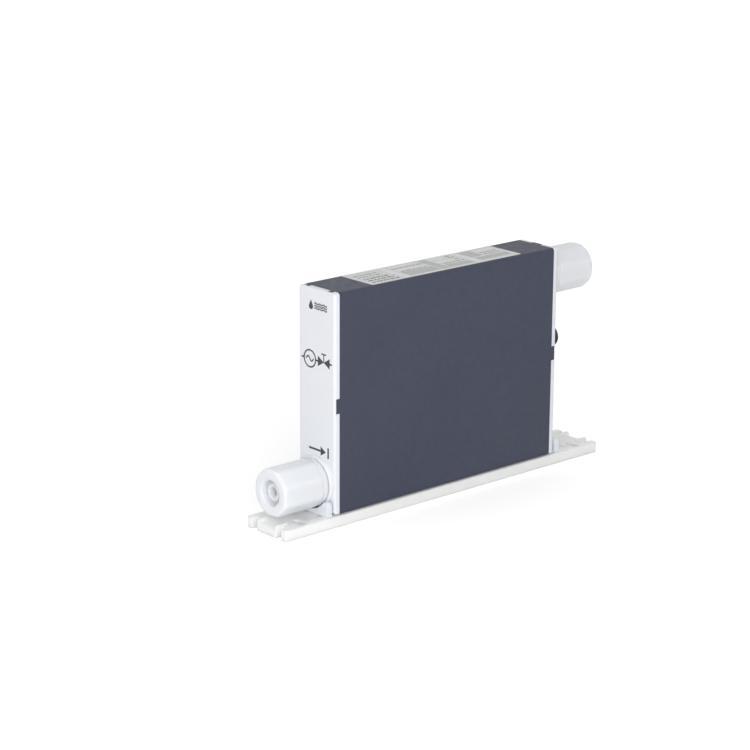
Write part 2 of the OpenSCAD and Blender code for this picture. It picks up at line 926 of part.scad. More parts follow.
module valve_bonnet() {
    half = bonnet_side / 2;
    boss_end = valve_face_x + bonnet_boss_l;
    color("#e9e9e6")
        difference() {
            union() {
                block([motor_x, -half, outlet_z - half], [valve_face_x, half, outlet_z + half]);
                rod_x(chamber_r - seat_gap, valve_face_x - over, boss_end, z = outlet_z);
            }
            translate([motor_x - over, 0, outlet_z])
                rotate([0, 90, 0])
                    cylinder(r = guide_r + seat_gap + run_gap, h = guide_hole_l + over, $fn = 6);
            rod_x(plunger_r + seat_gap + run_gap, motor_x + guide_hole_l, boss_end + over, z = outlet_z);
            rod_x(seal_r + seat_gap, boss_end - seal_l, boss_end + over, z = outlet_z);
            for (s = [-1, 1], t = [-1, 1])
                rod_x(motor_screw_r + seat_gap, motor_x - over, valve_face_x + over,
                    y = s * motor_screw_in, z = outlet_z + t * motor_screw_in);
        }
}

module stem_seal() {
    boss_end = valve_face_x + bonnet_boss_l;
    color("#2b2b2d")
        difference() {
            rod_x(seal_r, boss_end - seal_l, boss_end, z = outlet_z);
            rod_x(plunger_r + run_gap, boss_end - seal_l - over, boss_end + over, z = outlet_z);
        }
}

// Lead screw, hexagonal guide, plunger and cone in one piece, just clear of the seat
module valve_stem() {
    cone_x = seat_x - seat_l - cone_l * (plunger_r - seat_r + cone_gap) / (plunger_r - cone_tip_r);
    plunger_x = motor_x + guide_hole_l + stem_travel + seat_gap;
    guide_x = motor_x + guide_hole_l - guide_grip;
    tail_x = motor_x - motor_l - stem_tail_l;
    color("#d9dbdd") {
        rod_x(screw_r, tail_x, guide_x + over, z = outlet_z);
        translate([guide_x, 0, outlet_z])
            rotate([0, 90, 0])
                cylinder(r = guide_r, h = plunger_x - guide_x, $fn = 6);
        rod_x(plunger_r, plunger_x, cone_x, z = outlet_z);
        translate([cone_x, 0, outlet_z])
            rotate([0, 90, 0])
                cylinder(r1 = plunger_r, r2 = cone_tip_r, h = cone_l);
    }
}

// Motor can with end walls, a hollow for the rotor and a square flange towards the bonnet
module motor_stator() {
    back = motor_x - motor_l;
    half = bonnet_side / 2;
    color("#8d9096")
        difference() {
            union() {
                rod_x(motor_r, back, motor_x, z = outlet_z);
                block([motor_x - motor_flange_t, -half, outlet_z - half], [motor_x, half, outlet_z + half]);
            }
            rod_x(rotor_r + rotor_gap, back + motor_wall, motor_x - motor_wall, z = outlet_z);
            rod_x(bush_r + seat_gap, back - over, motor_x + over, z = outlet_z);
            for (s = [-1, 1], t = [-1, 1])
                rod_x(motor_screw_r + seat_gap, motor_x - motor_flange_t - over, motor_x + over,
                    y = s * motor_screw_in, z = outlet_z + t * motor_screw_in);
        }
}

module motor_bushes() {
    back = motor_x - motor_l;
    color("#b08d57")
        for (x = [back + motor_wall - bush_l, motor_x - motor_wall])
            difference() {
                rod_x(bush_r, x, x + bush_l, z = outlet_z);
                rod_x(hub_r + run_gap, x - over, x + bush_l + over, z = outlet_z);
            }
}

// Rotor with its magnet, two hubs in the bushes and the nut thread through its middle
module motor_rotor() {
    back = motor_x - motor_l + motor_wall;
    front = motor_x - motor_wall;
    color("#55585e")
        difference() {
            union() {
                rod_x(hub_r, back - bush_l, front + bush_l, z = outlet_z);
                rod_x(shoulder_r, back + shoulder_gap, front - shoulder_gap, z = outlet_z);
                rod_x(rotor_r, back + magnet_gap, front - magnet_gap, z = outlet_z);
            }
            rod_x(screw_r + run_gap, back - bush_l - over, front + bush_l + over, z = outlet_z);
        }
}

module motor_screws() {
    head_x = motor_x - motor_flange_t;
    color("#b8babd")
        for (s = [-1, 1], t = [-1, 1]) {
            rod_x(motor_screw_head_r, head_x - motor_screw_head_l, head_x,
                y = s * motor_screw_in, z = outlet_z + t * motor_screw_in);
            rod_x(motor_screw_r - run_gap, head_x - over, head_x + motor_screw_l - screw_end_gap,
                y = s * motor_screw_in, z = outlet_z + t * motor_screw_in);
        }
}

module main_board() {
    color("#1f5a3c")
        difference() {
            block([board_x0, board_y, board_z], [board_x0 + board_l, board_y + board_t, board_z + board_h]);
            for (p = board_holes())
                rod_y(screw_r3 + seat_gap, board_y - over, board_y + board_t + over, x = p.x, z = p.y);
        }
}

module board_spacers() {
    color("#c9a24a")
        for (p = board_holes())
            difference() {
                rod_y(spacer_r, board_y + board_t, plate_y, x = p.x, z = p.y);
                rod_y(screw_r3, board_y, plate_y + over, x = p.x, z = p.y);
            }
}

module board_screws() {
    color("#b8babd")
        for (p = board_holes()) {
            rod_y(head_r3, board_y - head_l3, board_y, x = p.x, z = p.y);
            rod_y(screw_r3 - run_gap, board_y - over, plate_y, x = p.x, z = p.y);
        }
}

// Processor, driver, two capacitors, a coil and two headers on the board's near side
processor_share = [0.28, 0.62];
driver_share = [0.82, 0.45];
coil_share = [0.58, 0.3];
can_share = [[0.16, 0.24], [0.3, 0.4]];
processor_w = 14.5;
driver_w = 8.6;
chip_t = 1.6;
coil_w = 10;
coil_l = 5;
can_r = 4;
can_l = 10;
header_w = 20;
header_h = 5;
header_t = 6;

// A square part on the board, its middle at a share of the board's length and height
module square_part(place_share, w, t) {
    x = board_x0 + place_share.x * board_l;
    z = board_z + place_share.y * board_h;
    block([x - w / 2, board_y - t, z - w / 2], [x + w / 2, board_y, z + w / 2]);
}

module board_components() {
    color("#26282c") {
        square_part(processor_share, processor_w, chip_t);
        square_part(driver_share, driver_w, chip_t);
        square_part(coil_share, coil_w, coil_l);
        for (c = can_share)
            rod_y(can_r, board_y - can_l, board_y,
                x = board_x0 + c.x * board_l, z = board_z + c.y * board_h);
        for (z = [board_z + header_h / 2, board_z + board_h - header_h - header_h / 2])
            block([board_x0 + board_l / 2 - header_w / 2, board_y - header_t, z],
                [board_x0 + board_l / 2 + header_w / 2, board_y, z + header_h]);
    }
}

// Small board behind the outlet panel for the connector and the lamps
module end_board() {
    x1 = face_x - end_board_in;
    color("#1f5a3c")
        difference() {
            block([x1 - board_t, -end_board_w / 2, end_board_z],
                [x1, end_board_w / 2, end_board_z + end_board_h]);
            for (z = [end_board_z + end_post_z, end_board_z + end_board_h - end_post_z])
                rod_x(screw_r3 + seat_gap, x1 - board_t - over, x1 + over, z = z);
            connector_pin_places(pin_r + seat_gap, x1 - board_t - over, x1 + over);
        }
}

module end_board_screws() {
    x1 = face_x - end_board_in - board_t;
    color("#b8babd")
        for (z = [end_board_z + end_post_z, end_board_z + end_board_h - end_post_z]) {
            rod_x(head_r3, x1 - head_l3, x1, z = z);
            rod_x(screw_r3 - seat_gap - run_gap, x1 - over, face_x - face_t - seat_gap, z = z);
        }
}

module indicator_leds() {
    x1 = face_x - end_board_in;
    color("#dfe3e6")
        for (i = [-1, 0, 1])
            block([x1, -lamp_y - led_side / 2, lamp_z + i * lamp_pitch - led_side / 2],
                [x1 + led_l, -lamp_y + led_side / 2, lamp_z + i * lamp_pitch + led_side / 2]);
}

module connector_pin_places(r, x0, x1) {
    for (i = [0 : pin_count - 1])
        rod_x(r, x0, x1, y = pin_circle_r * cos(360 * i / pin_count + 45),
            z = connector_z + pin_circle_r * sin(360 * i / pin_count + 45));
}

// Connector: a round flange with a hexagon, a neck and an open threaded barrel
module connector_shell() {
    end_x = face_x + connector_l;
    insert_x = end_x - insert_l;
    tail_x = face_x - face_t - lock_nut_l - shell_tail;
    flange_x = face_x + seal_ring_t;
    hex_x = flange_x + flange_t;
    barrel_x = hex_x + hex_l + neck_l;
    color("#1c1d20")
        difference() {
            union() {
                rod_x(connector_flange_r, flange_x, hex_x, z = connector_z);
                translate([hex_x, 0, connector_z])
                    rotate([0, 90, 0])
                        rotate([0, 0, 30])
                            cylinder(r = hex_r, h = hex_l, $fn = 6);
                rod_x(neck_r, face_x, barrel_x + over, z = connector_z);
                rod_x(connector_r, barrel_x, end_x, z = connector_z);
                rod_x(connector_hole_r, tail_x, flange_x + over, z = connector_z);
            }
            rod_x(socket_in_r, insert_x - insert_step, end_x + over, z = connector_z);
            rod_x(shank_r + seat_gap, tail_x - over, insert_x, z = connector_z);
        }
}

module connector_insert() {
    end_x = face_x + connector_l;
    insert_x = end_x - insert_l;
    color("#141517")
        difference() {
            union() {
                rod_x(insert_r, insert_x - insert_step, insert_x + insert_step, z = connector_z);
                rod_x(shank_r, face_x - face_t - lock_nut_l - shell_tail, insert_x, z = connector_z);
                block([insert_x, -key_w / 2, connector_z + insert_r - key_h - seat_gap],
                    [end_x - key_in, key_w / 2, connector_z + insert_r - seat_gap]);
            }
            connector_pin_places(pin_r + run_gap, face_x - face_t - lock_nut_l - shell_tail - over,
                insert_x + insert_step + over);
        }
}

module connector_pins() {
    end_x = face_x + connector_l;
    color("#d8b25a")
        connector_pin_places(pin_r, face_x - end_board_in - board_t, end_x - insert_l + pin_l);
}

module connector_seal() {
    color("#2b2b2d")
        difference() {
            rod_x(connector_flange_r - seal_ring_in, face_x, face_x + seal_ring_t, z = connector_z);
            rod_x(connector_hole_r + seat_gap, face_x - over, face_x + seal_ring_t + over, z = connector_z);
        }
}

module connector_lock_nut() {
    x1 = face_x - face_t;
    color("#b8babd")
        difference() {
            translate([x1 - lock_nut_l, 0, connector_z])
                rotate([0, 90, 0])
                    cylinder(r = lock_nut_r, h = lock_nut_l, $fn = 6);
            rod_x(connector_hole_r + run_gap, x1 - lock_nut_l - over, x1 + over, z = connector_z);
        }
}

module lamp_bezel() {
    color("#1c1d20")
        difference() {
            along_x(face_x - bezel_in, face_x - bezel_in + bezel_t)
                translate([-lamp_y, lamp_z])
                    round_rect(bezel_w, bezel_h, bezel_r);
            for (i = [-1, 0, 1])
                rod_x(lamp_r + run_gap, face_x - bezel_in - over, face_x + bezel_t + over,
                    y = -lamp_y, z = lamp_z + i * lamp_pitch);
        }
}

module light_pipes() {
    tip_x = face_x - bezel_in + bezel_t + pipe_out;
    color("#f4f6f7")
        for (i = [-1, 0, 1])
            rod_x(lamp_r, tip_x - pipe_l, tip_x, y = -lamp_y, z = lamp_z + i * lamp_pitch);
}

base_rail();
chassis();
cover();
inlet_panel();
outlet_panel();
inlet_clip();
outlet_clip();
rating_label();
inlet_fitting();
inlet_sleeve();
inlet_nut();
outlet_fitting();
outlet_sleeve();
outlet_nut();
measuring_tube();
upstream_transducer();
downstream_transducer();
frame_plate();
valve_body();
valve_bonnet();
stem_seal();
valve_stem();
motor_stator();
motor_rotor();
motor_bushes();
motor_screws();
main_board();
board_components();
board_spacers();
board_screws();
frame_screws();
base_screws();
end_board();
end_board_screws();
indicator_leds();
connector_shell();
connector_insert();
connector_pins();
connector_seal();
connector_lock_nut();
lamp_bezel();
light_pipes();
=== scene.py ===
# %% [markdown]
# # A liquid flow controller in a white studio
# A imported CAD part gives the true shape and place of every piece. This script keeps most of those
# pieces and gives them finishes, builds the pieces that need finer form in mesh code, and sets up
# the floor, the light and the camera. X runs with the flow, Z is up, and lengths are metres.

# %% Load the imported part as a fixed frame
import json
import math

import bmesh
import bpy
from mathutils import Matrix, Vector


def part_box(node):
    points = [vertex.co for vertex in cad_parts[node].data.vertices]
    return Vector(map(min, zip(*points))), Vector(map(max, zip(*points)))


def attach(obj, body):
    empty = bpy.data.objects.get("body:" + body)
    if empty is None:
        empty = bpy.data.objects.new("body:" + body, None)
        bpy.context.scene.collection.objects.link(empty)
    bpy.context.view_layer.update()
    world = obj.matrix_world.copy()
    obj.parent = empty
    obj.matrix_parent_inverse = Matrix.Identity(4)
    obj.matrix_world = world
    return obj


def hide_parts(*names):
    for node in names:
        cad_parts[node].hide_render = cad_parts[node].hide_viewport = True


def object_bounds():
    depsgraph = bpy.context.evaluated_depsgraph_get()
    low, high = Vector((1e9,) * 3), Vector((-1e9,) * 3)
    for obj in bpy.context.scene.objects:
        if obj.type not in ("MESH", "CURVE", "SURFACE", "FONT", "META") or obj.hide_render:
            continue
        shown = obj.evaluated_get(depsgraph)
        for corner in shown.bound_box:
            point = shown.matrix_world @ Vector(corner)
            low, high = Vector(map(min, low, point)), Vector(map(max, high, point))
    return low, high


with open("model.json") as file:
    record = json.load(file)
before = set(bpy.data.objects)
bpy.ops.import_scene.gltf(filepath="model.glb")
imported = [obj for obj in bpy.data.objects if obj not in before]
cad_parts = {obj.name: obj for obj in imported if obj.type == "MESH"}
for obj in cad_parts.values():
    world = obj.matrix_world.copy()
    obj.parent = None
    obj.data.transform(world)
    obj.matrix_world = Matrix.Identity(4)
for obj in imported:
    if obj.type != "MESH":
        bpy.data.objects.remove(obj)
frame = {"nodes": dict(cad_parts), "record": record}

cad_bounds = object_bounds()
print("CAD box", [tuple(round(v, 4) for v in corner) for corner in cad_bounds])

# %% [markdown]
# ## Planes and axes that the new pieces share
# Every new piece must sit on the CAD, so its planes come from the boxes of the CAD nodes. Only
# the sizes that a box can't tell, such as a radius of an edge, are written here again.

# %% Planes and axes from the frame
MM = 0.001
TAU = 2 * math.pi

inlet_face_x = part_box("inlet_clip")[1].x
outlet_face_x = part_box("outlet_panel")[1].x
label_low, label_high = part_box("rating_label")


def axis_height(node):
    """Height of the axis of a node that is round about X."""
    low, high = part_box(node)
    return (low.z + high.z) / 2


inlet_z = axis_height("inlet_nut")
outlet_z = axis_height("outlet_nut")
connector_z = axis_height("connector_shell")
lamp_z = axis_height("lamp_bezel")
lamp_y = sum(corner.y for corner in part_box("lamp_bezel")) / 2
print("faces at", round(inlet_face_x, 4), round(outlet_face_x, 4))
print("ports at", round(inlet_z, 4), round(outlet_z, 4))

# %% [markdown]
# ## The camera
# The picture was taken with a long lens from above the inlet end. Azimuth, elevation and distance
# were found by fitting the body's corners, and the tilt of the horizon is a small roll.

# %% Camera
AIM = Vector((-41.24, 0, 72.61)) * MM
AZIMUTH = math.radians(-41.559)
ELEVATION = math.radians(16.154)
ROLL = math.radians(0.277)
DISTANCE = 1250.5 * MM
SENSOR_WIDTH = 36
FOCAL_IN_FRAME_WIDTHS = 3.12064

back = Vector((math.sin(AZIMUTH) * math.cos(ELEVATION), -math.cos(AZIMUTH) * math.cos(ELEVATION),
               math.sin(ELEVATION)))
side = Vector((0, 0, 1)).cross(back).normalized()
over = back.cross(side)
right = math.cos(ROLL) * side + math.sin(ROLL) * over
up = math.cos(ROLL) * over - math.sin(ROLL) * side

camera_data = bpy.data.cameras.new("camera")
camera_data.sensor_width = SENSOR_WIDTH
camera_data.lens = FOCAL_IN_FRAME_WIDTHS * SENSOR_WIDTH
camera = bpy.data.objects.new("camera", camera_data)
camera.matrix_world = Matrix.LocRotScale(
    AIM + back * DISTANCE, Matrix((right, up, back)).transposed().to_quaternion(), None)
bpy.context.scene.collection.objects.link(camera)
bpy.context.scene.camera = camera
print("camera lens", round(camera_data.lens, 2), "mm")

# %% [markdown]
# ## A bright room
# The picture has a pure white background and soft shadows, so the base level is an even white
# room. A photographed studio could light the scene too, but it needs an image, and one plain
# strength is easier to set. Rays that go straight to the camera see a pure white room, so the
# background stays white without more light on the object.

# %% Room
ROOM_LEVEL = 0.55

bpy.context.scene.view_settings.view_transform = "Standard"
world = bpy.data.worlds.new("white_room")
world.use_nodes = True
bpy.context.scene.world = world


def seen_directly(nodes, links):
    """One for rays from the camera, from mirrors and through glass, zero for all others."""
    path = nodes.new("ShaderNodeLightPath")
    total = path.outputs["Is Camera Ray"]
    for kind in ("Is Glossy Ray", "Is Transmission Ray"):
        add = nodes.new("ShaderNodeMath")
        add.operation = "MAXIMUM"
        links.new(total, add.inputs[0])
        links.new(path.outputs[kind], add.inputs[1])
        total = add.outputs[0]
    return total


room_nodes = world.node_tree.nodes
room_links = world.node_tree.links
room_level = room_nodes.new("ShaderNodeMapRange")
room_level.inputs["To Min"].default_value = ROOM_LEVEL
room_level.inputs["To Max"].default_value = 1
room_links.new(seen_directly(room_nodes, room_links), room_level.inputs["Value"])
room_links.new(room_level.outputs[0], room_nodes["Background"].inputs["Strength"])
room_nodes["Background"].inputs["Color"].default_value = (1, 1, 1, 1)
print("room level", ROOM_LEVEL)

# %% [markdown]
# ### Three soft lamps
# White plastic shows its form only when one side is a little brighter than the next. The main lamp
# stands low and near the inlet end, so it reaches under the nut, and its light falls off along the
# body and leaves the outlet nut greyer, as in the picture. A sun lamp would light both ends alike.
# Two weaker lamps open the shadows from above and from the inlet end.

# %% Lamps
LAMPS = {
    "lamp_main": {"place": (-0.48, -0.56, 0.25), "size": 0.5, "power": 2.5},
    "lamp_above": {"place": (-0.3, -0.1, 1.2), "size": 1.5, "power": 1.6},
    "lamp_inlet_end": {"place": (-1.2, -0.3, 0.12), "size": 1.0, "power": 1.2},
}

for name, lamp in LAMPS.items():
    light = bpy.data.lights.new(name, "AREA")
    light.shape = "DISK"
    light.size = lamp["size"]
    light.energy = lamp["power"]
    holder = bpy.data.objects.new(name, light)
    holder.location = lamp["place"]
    holder.rotation_euler = (AIM - holder.location).to_track_quat("-Z", "Y").to_euler()
    bpy.context.scene.collection.objects.link(holder)
print("lamps", list(LAMPS))

# %% [markdown]
# ## Shader groups that several finishes share
# Moulded plastic is never one flat colour. It has a fine grain from the mould and a slow change of
# tone, its edges get a painted highlight, and drawn metal has fine lines. Each of these is a node
# group, built once, and every material sets its own scale and strength on it. Coordinates are the
# object's own, in metres, so a scale of 1000 means one feature a millimetre.

# %% Group helper


def new_group(name, inputs, outputs):
    """An empty shader group with the given sockets, and its input and output nodes."""
    tree = bpy.data.node_groups.new(name, "ShaderNodeTree")
    for label, kind, value in inputs:
        socket = tree.interface.new_socket(label, in_out="INPUT", socket_type=kind)
        socket.default_value = value
    for label, kind in outputs:
        tree.interface.new_socket(label, in_out="OUTPUT", socket_type=kind)
    entry = tree.nodes.new("NodeGroupInput")
    leave = tree.nodes.new("NodeGroupOutput")
    return tree, entry, leave


def noise(tree, vector, scale, detail, roughness=0.5):
    """A noise texture in a group, with its scale from a socket or a number."""
    node = tree.nodes.new("ShaderNodeTexNoise")
    node.inputs["Detail"].default_value = detail
    node.inputs["Roughness"].default_value = roughness
    tree.links.new(vector, node.inputs["Vector"])
    if isinstance(scale, (int, float)):
        node.inputs["Scale"].default_value = scale
    else:
        tree.links.new(scale, node.inputs["Scale"])
    return node.outputs["Fac"]


# %% [markdown]
# ### Mould grain
# A mould's wall is blasted or etched, and the plastic copies it. One noise alone looks like sand,
# so a fine and a coarse one are added. The coarse one is also the tone that moves the roughness.

# %% Grain group
COARSE_PER_FINE = 9
COARSE_SHARE = 0.35


def make_grain_group():
    """Fine grain of a mould: a height for bumps and a tone for roughness."""
    tree, entry, leave = new_group(
        "mould_grain",
        [("Scale", "NodeSocketFloat", 1500.0)],
        [("Height", "NodeSocketFloat"), ("Tone", "NodeSocketFloat")])
    place = tree.nodes.new("ShaderNodeTexCoord").outputs["Object"]
    fine = noise(tree, place, entry.outputs["Scale"], 3.0, 0.6)
    coarse_scale = tree.nodes.new("ShaderNodeMath")
    coarse_scale.operation = "DIVIDE"
    coarse_scale.inputs[1].default_value = COARSE_PER_FINE
    tree.links.new(entry.outputs["Scale"], coarse_scale.inputs[0])
    coarse = noise(tree, place, coarse_scale.outputs[0], 2.0)
    both = tree.nodes.new("ShaderNodeMath")
    both.operation = "MULTIPLY_ADD"
    both.inputs[1].default_value = COARSE_SHARE
    tree.links.new(coarse, both.inputs[0])
    tree.links.new(fine, both.inputs[2])
    tree.links.new(both.outputs[0], leave.inputs["Height"])
    tree.links.new(coarse, leave.inputs["Tone"])
    return tree


GRAIN = make_grain_group()
print("group", GRAIN.name)

# %% [markdown]
# ### Slow mottle
# Thick and thin stretches of a moulding differ a little in tone. A painted map would fit one piece
# only, so a slow noise mixes two close colours that each material names.

# %% Mottle group
TONE_LOW = 0.3
TONE_HIGH = 0.7


def make_mottle_group():
    """Slow change between two colours, as thick and thin stretches of a moulding show."""
    tree, entry, leave = new_group(
        "slow_mottle",
        [("Color A", "NodeSocketColor", (1, 1, 1, 1)), ("Color B", "NodeSocketColor", (1, 1, 1, 1)),
         ("Scale", "NodeSocketFloat", 40.0)],
        [("Color", "NodeSocketColor")])
    place = tree.nodes.new("ShaderNodeTexCoord").outputs["Object"]
    cloud = noise(tree, place, entry.outputs["Scale"], 4.0)
    spread = tree.nodes.new("ShaderNodeMapRange")
    spread.inputs["From Min"].default_value = TONE_LOW
    spread.inputs["From Max"].default_value = TONE_HIGH
    tree.links.new(cloud, spread.inputs["Value"])
    mix = tree.nodes.new("ShaderNodeMix")
    mix.data_type = "RGBA"
    tree.links.new(spread.outputs[0], mix.inputs["Factor"])
    tree.links.new(entry.outputs["Color A"], mix.inputs[6])
    tree.links.new(entry.outputs["Color B"], mix.inputs[7])
    tree.links.new(mix.outputs[2], leave.inputs["Color"])
    return tree


MOTTLE = make_mottle_group()
print("group", MOTTLE.name)

# %% [markdown]
# ### Brushing
# Drawn sheet and turned screws carry fine lines along their length. Noise in coordinates that are
# squeezed along X gives such lines, with no image and at any size.

# %% Brushing group
ALONG_X = 0.02


def make_brush_group():
    """Long fine scratches along X, for drawn and turned metal."""
    tree, entry, leave = new_group(
        "brushing",
        [("Scale", "NodeSocketFloat", 2000.0)],
        [("Height", "NodeSocketFloat"), ("Tone", "NodeSocketFloat")])
    place = tree.nodes.new("ShaderNodeTexCoord").outputs["Object"]
    stretch = tree.nodes.new("ShaderNodeVectorMath")
    stretch.operation = "MULTIPLY"
    stretch.inputs[1].default_value = (ALONG_X, 1, 1)
    tree.links.new(place, stretch.inputs[0])
    lines = noise(tree, stretch.outputs[0], entry.outputs["Scale"], 2.0)
    tree.links.new(lines, leave.inputs["Height"])
    tree.links.new(lines, leave.inputs["Tone"])
    return tree


BRUSH = make_brush_group()
print("group", BRUSH.name)

# %% [markdown]
# ### Rounded edges and a painted edge highlight
# A moulded edge is never quite sharp. A bevel in the mesh would show it, but the CAD meshes stay as
# they are, and Cycles can round an edge in the normal alone. Where that rounded normal differs from
# the flat one, the surface is at an edge, so the same node gives the mask where a lighter colour is
# painted on as a highlight.

# %% Edge group
BEVEL_SAMPLES = 4
EDGE_FULL = 0.75


def make_edge_group():
    """Where the surface turns over an edge, as a mask for a painted highlight, and a normal that rounds
    that edge.
    """
    tree, entry, leave = new_group(
        "edge_round_and_highlight",
        [("Radius", "NodeSocketFloat", 0.0004)],
        [("Mask", "NodeSocketFloat"), ("Normal", "NodeSocketVector")])
    rounded = tree.nodes.new("ShaderNodeBevel")
    rounded.samples = BEVEL_SAMPLES
    tree.links.new(entry.outputs["Radius"], rounded.inputs["Radius"])
    flat = tree.nodes.new("ShaderNodeNewGeometry")
    match = tree.nodes.new("ShaderNodeVectorMath")
    match.operation = "DOT_PRODUCT"
    tree.links.new(rounded.outputs[0], match.inputs[0])
    tree.links.new(flat.outputs["Normal"], match.inputs[1])
    turn = tree.nodes.new("ShaderNodeMapRange")
    turn.inputs["From Min"].default_value = 1
    turn.inputs["From Max"].default_value = EDGE_FULL
    tree.links.new(match.outputs["Value"], turn.inputs["Value"])
    tree.links.new(turn.outputs[0], leave.inputs["Mask"])
    tree.links.new(rounded.outputs[0], leave.inputs["Normal"])
    return tree


EDGE = make_edge_group()
print("group", EDGE.name)

# %% [markdown]
# ## Finishes
# A graph for each material would repeat the same nodes many times, so one function builds every
# plastic and one every metal. Both need four small helpers: a colour with its alpha, a group with
# its inputs set, a roughness that follows a tone, and a bump. Roughness that changes over a piece
# stays above 0.28, since the denoiser treats smoother spots as mirrors and would draw their
# borders. Only the lamps' lenses, too small for that to show, are smoother.

# %% Helpers of the finishes


def rgba(color):
    return (*color, 1)


def place_group(nodes, tree, **values):
    """A group node with its inputs set; underscores stand for spaces."""
    node = nodes.new("ShaderNodeGroup")
    node.node_tree = tree
    for label, value in values.items():
        node.inputs[label.replace("_", " ")].default_value = value
    return node


def spread_roughness(nodes, links, tone, low, high):
    """Roughness that moves between two values with a tone."""
    node = nodes.new("ShaderNodeMapRange")
    node.inputs["From Min"].default_value = TONE_LOW
    node.inputs["From Max"].default_value = TONE_HIGH
    node.inputs["To Min"].default_value = low
    node.inputs["To Max"].default_value = high
    links.new(tone, node.inputs["Value"])
    return node.outputs[0]


def bump(nodes, links, height, normal, depth, strength=1.0):
    """A bump of a real depth over a normal."""
    node = nodes.new("ShaderNodeBump")
    node.inputs["Distance"].default_value = depth
    node.inputs["Strength"].default_value = strength
    links.new(height, node.inputs["Height"])
    if normal:
        links.new(normal, node.inputs["Normal"])
    return node.outputs[0]


# %% [markdown]
# ### Plastic
# Two close colours in slow mottle, a lighter colour painted on the edges as a highlight, a roughness
# that follows the mould's grain, and a bump. Milky plastics also let light in under the surface. A
# glass mix could show that too, but the shader's own subsurface sockets keep it one material that
# an export can read.

# %% Plastic


def plastic(name, color, second, edge_highlight_color, rough=(0.4, 0.5), grain=1500.0, depth=0.00001,
            mottle=40.0, edge=0.0004, milky=0.0, milky_depth=0.002, specular=0.5):
    """A moulded plastic with mottle, grain, rounded edges with a painted highlight and, if milky, light
    under the skin.
    """
    material = bpy.data.materials.new(name)
    material.use_nodes = True
    nodes, links = material.node_tree.nodes, material.node_tree.links
    shader = nodes["Principled BSDF"]
    tone = place_group(nodes, MOTTLE, Color_A=rgba(color), Color_B=rgba(second), Scale=mottle)
    edges = place_group(nodes, EDGE, Radius=edge)
    grains = place_group(nodes, GRAIN, Scale=grain)
    # Where the edge mask is full, the edge colour replaces the mottle: a painted highlight on every edge.
    mix = nodes.new("ShaderNodeMix")
    mix.data_type = "RGBA"
    links.new(edges.outputs["Mask"], mix.inputs["Factor"])
    links.new(tone.outputs["Color"], mix.inputs[6])
    mix.inputs[7].default_value = rgba(edge_highlight_color)
    links.new(mix.outputs[2], shader.inputs["Base Color"])
    links.new(spread_roughness(nodes, links, grains.outputs["Tone"], *rough), shader.inputs["Roughness"])
    links.new(bump(nodes, links, grains.outputs["Height"], edges.outputs["Normal"], depth),
              shader.inputs["Normal"])
    shader.inputs["Specular IOR Level"].default_value = specular
    shader.inputs["Subsurface Weight"].default_value = milky
    shader.inputs["Subsurface Scale"].default_value = milky_depth
    shader.inputs["Subsurface Radius"].default_value = (1, 1, 1)
    return material


# %% [markdown]
# ### Metal
# The plate, the screws and the bushes are bare metal. Their colour is that of the reflection, so
# it is the metal's own, and the brushing gives the lines.

# %% Metal
METAL_MOTTLE = 150.0
METAL_EDGE = 0.0002


def metal(name, color, second, rough=(0.29, 0.4), scale=2500.0, depth=0.000003):
    """A drawn or turned metal with fine lines and a slow change of tone."""
    material = bpy.data.materials.new(name)
    material.use_nodes = True
    nodes, links = material.node_tree.nodes, material.node_tree.links
    shader = nodes["Principled BSDF"]
    shader.inputs["Metallic"].default_value = 1
    tone = place_group(nodes, MOTTLE, Color_A=rgba(color), Color_B=rgba(second), Scale=METAL_MOTTLE)
    lines = place_group(nodes, BRUSH, Scale=scale)
    edges = place_group(nodes, EDGE, Radius=METAL_EDGE)
    links.new(tone.outputs["Color"], shader.inputs["Base Color"])
    links.new(spread_roughness(nodes, links, lines.outputs["Tone"], *rough), shader.inputs["Roughness"])
    links.new(bump(nodes, links, lines.outputs["Height"], edges.outputs["Normal"], depth),
              shader.inputs["Normal"])
    return material


# %% [markdown]
# ### The finishes that show
# The cover is a blue grey with a fine matt texture. The end panels and clips are a cool satin
# white, the union nuts a milky bluish fluoropolymer, and the rail a plastic without pigment, so it
# is lighter and a little warmer.

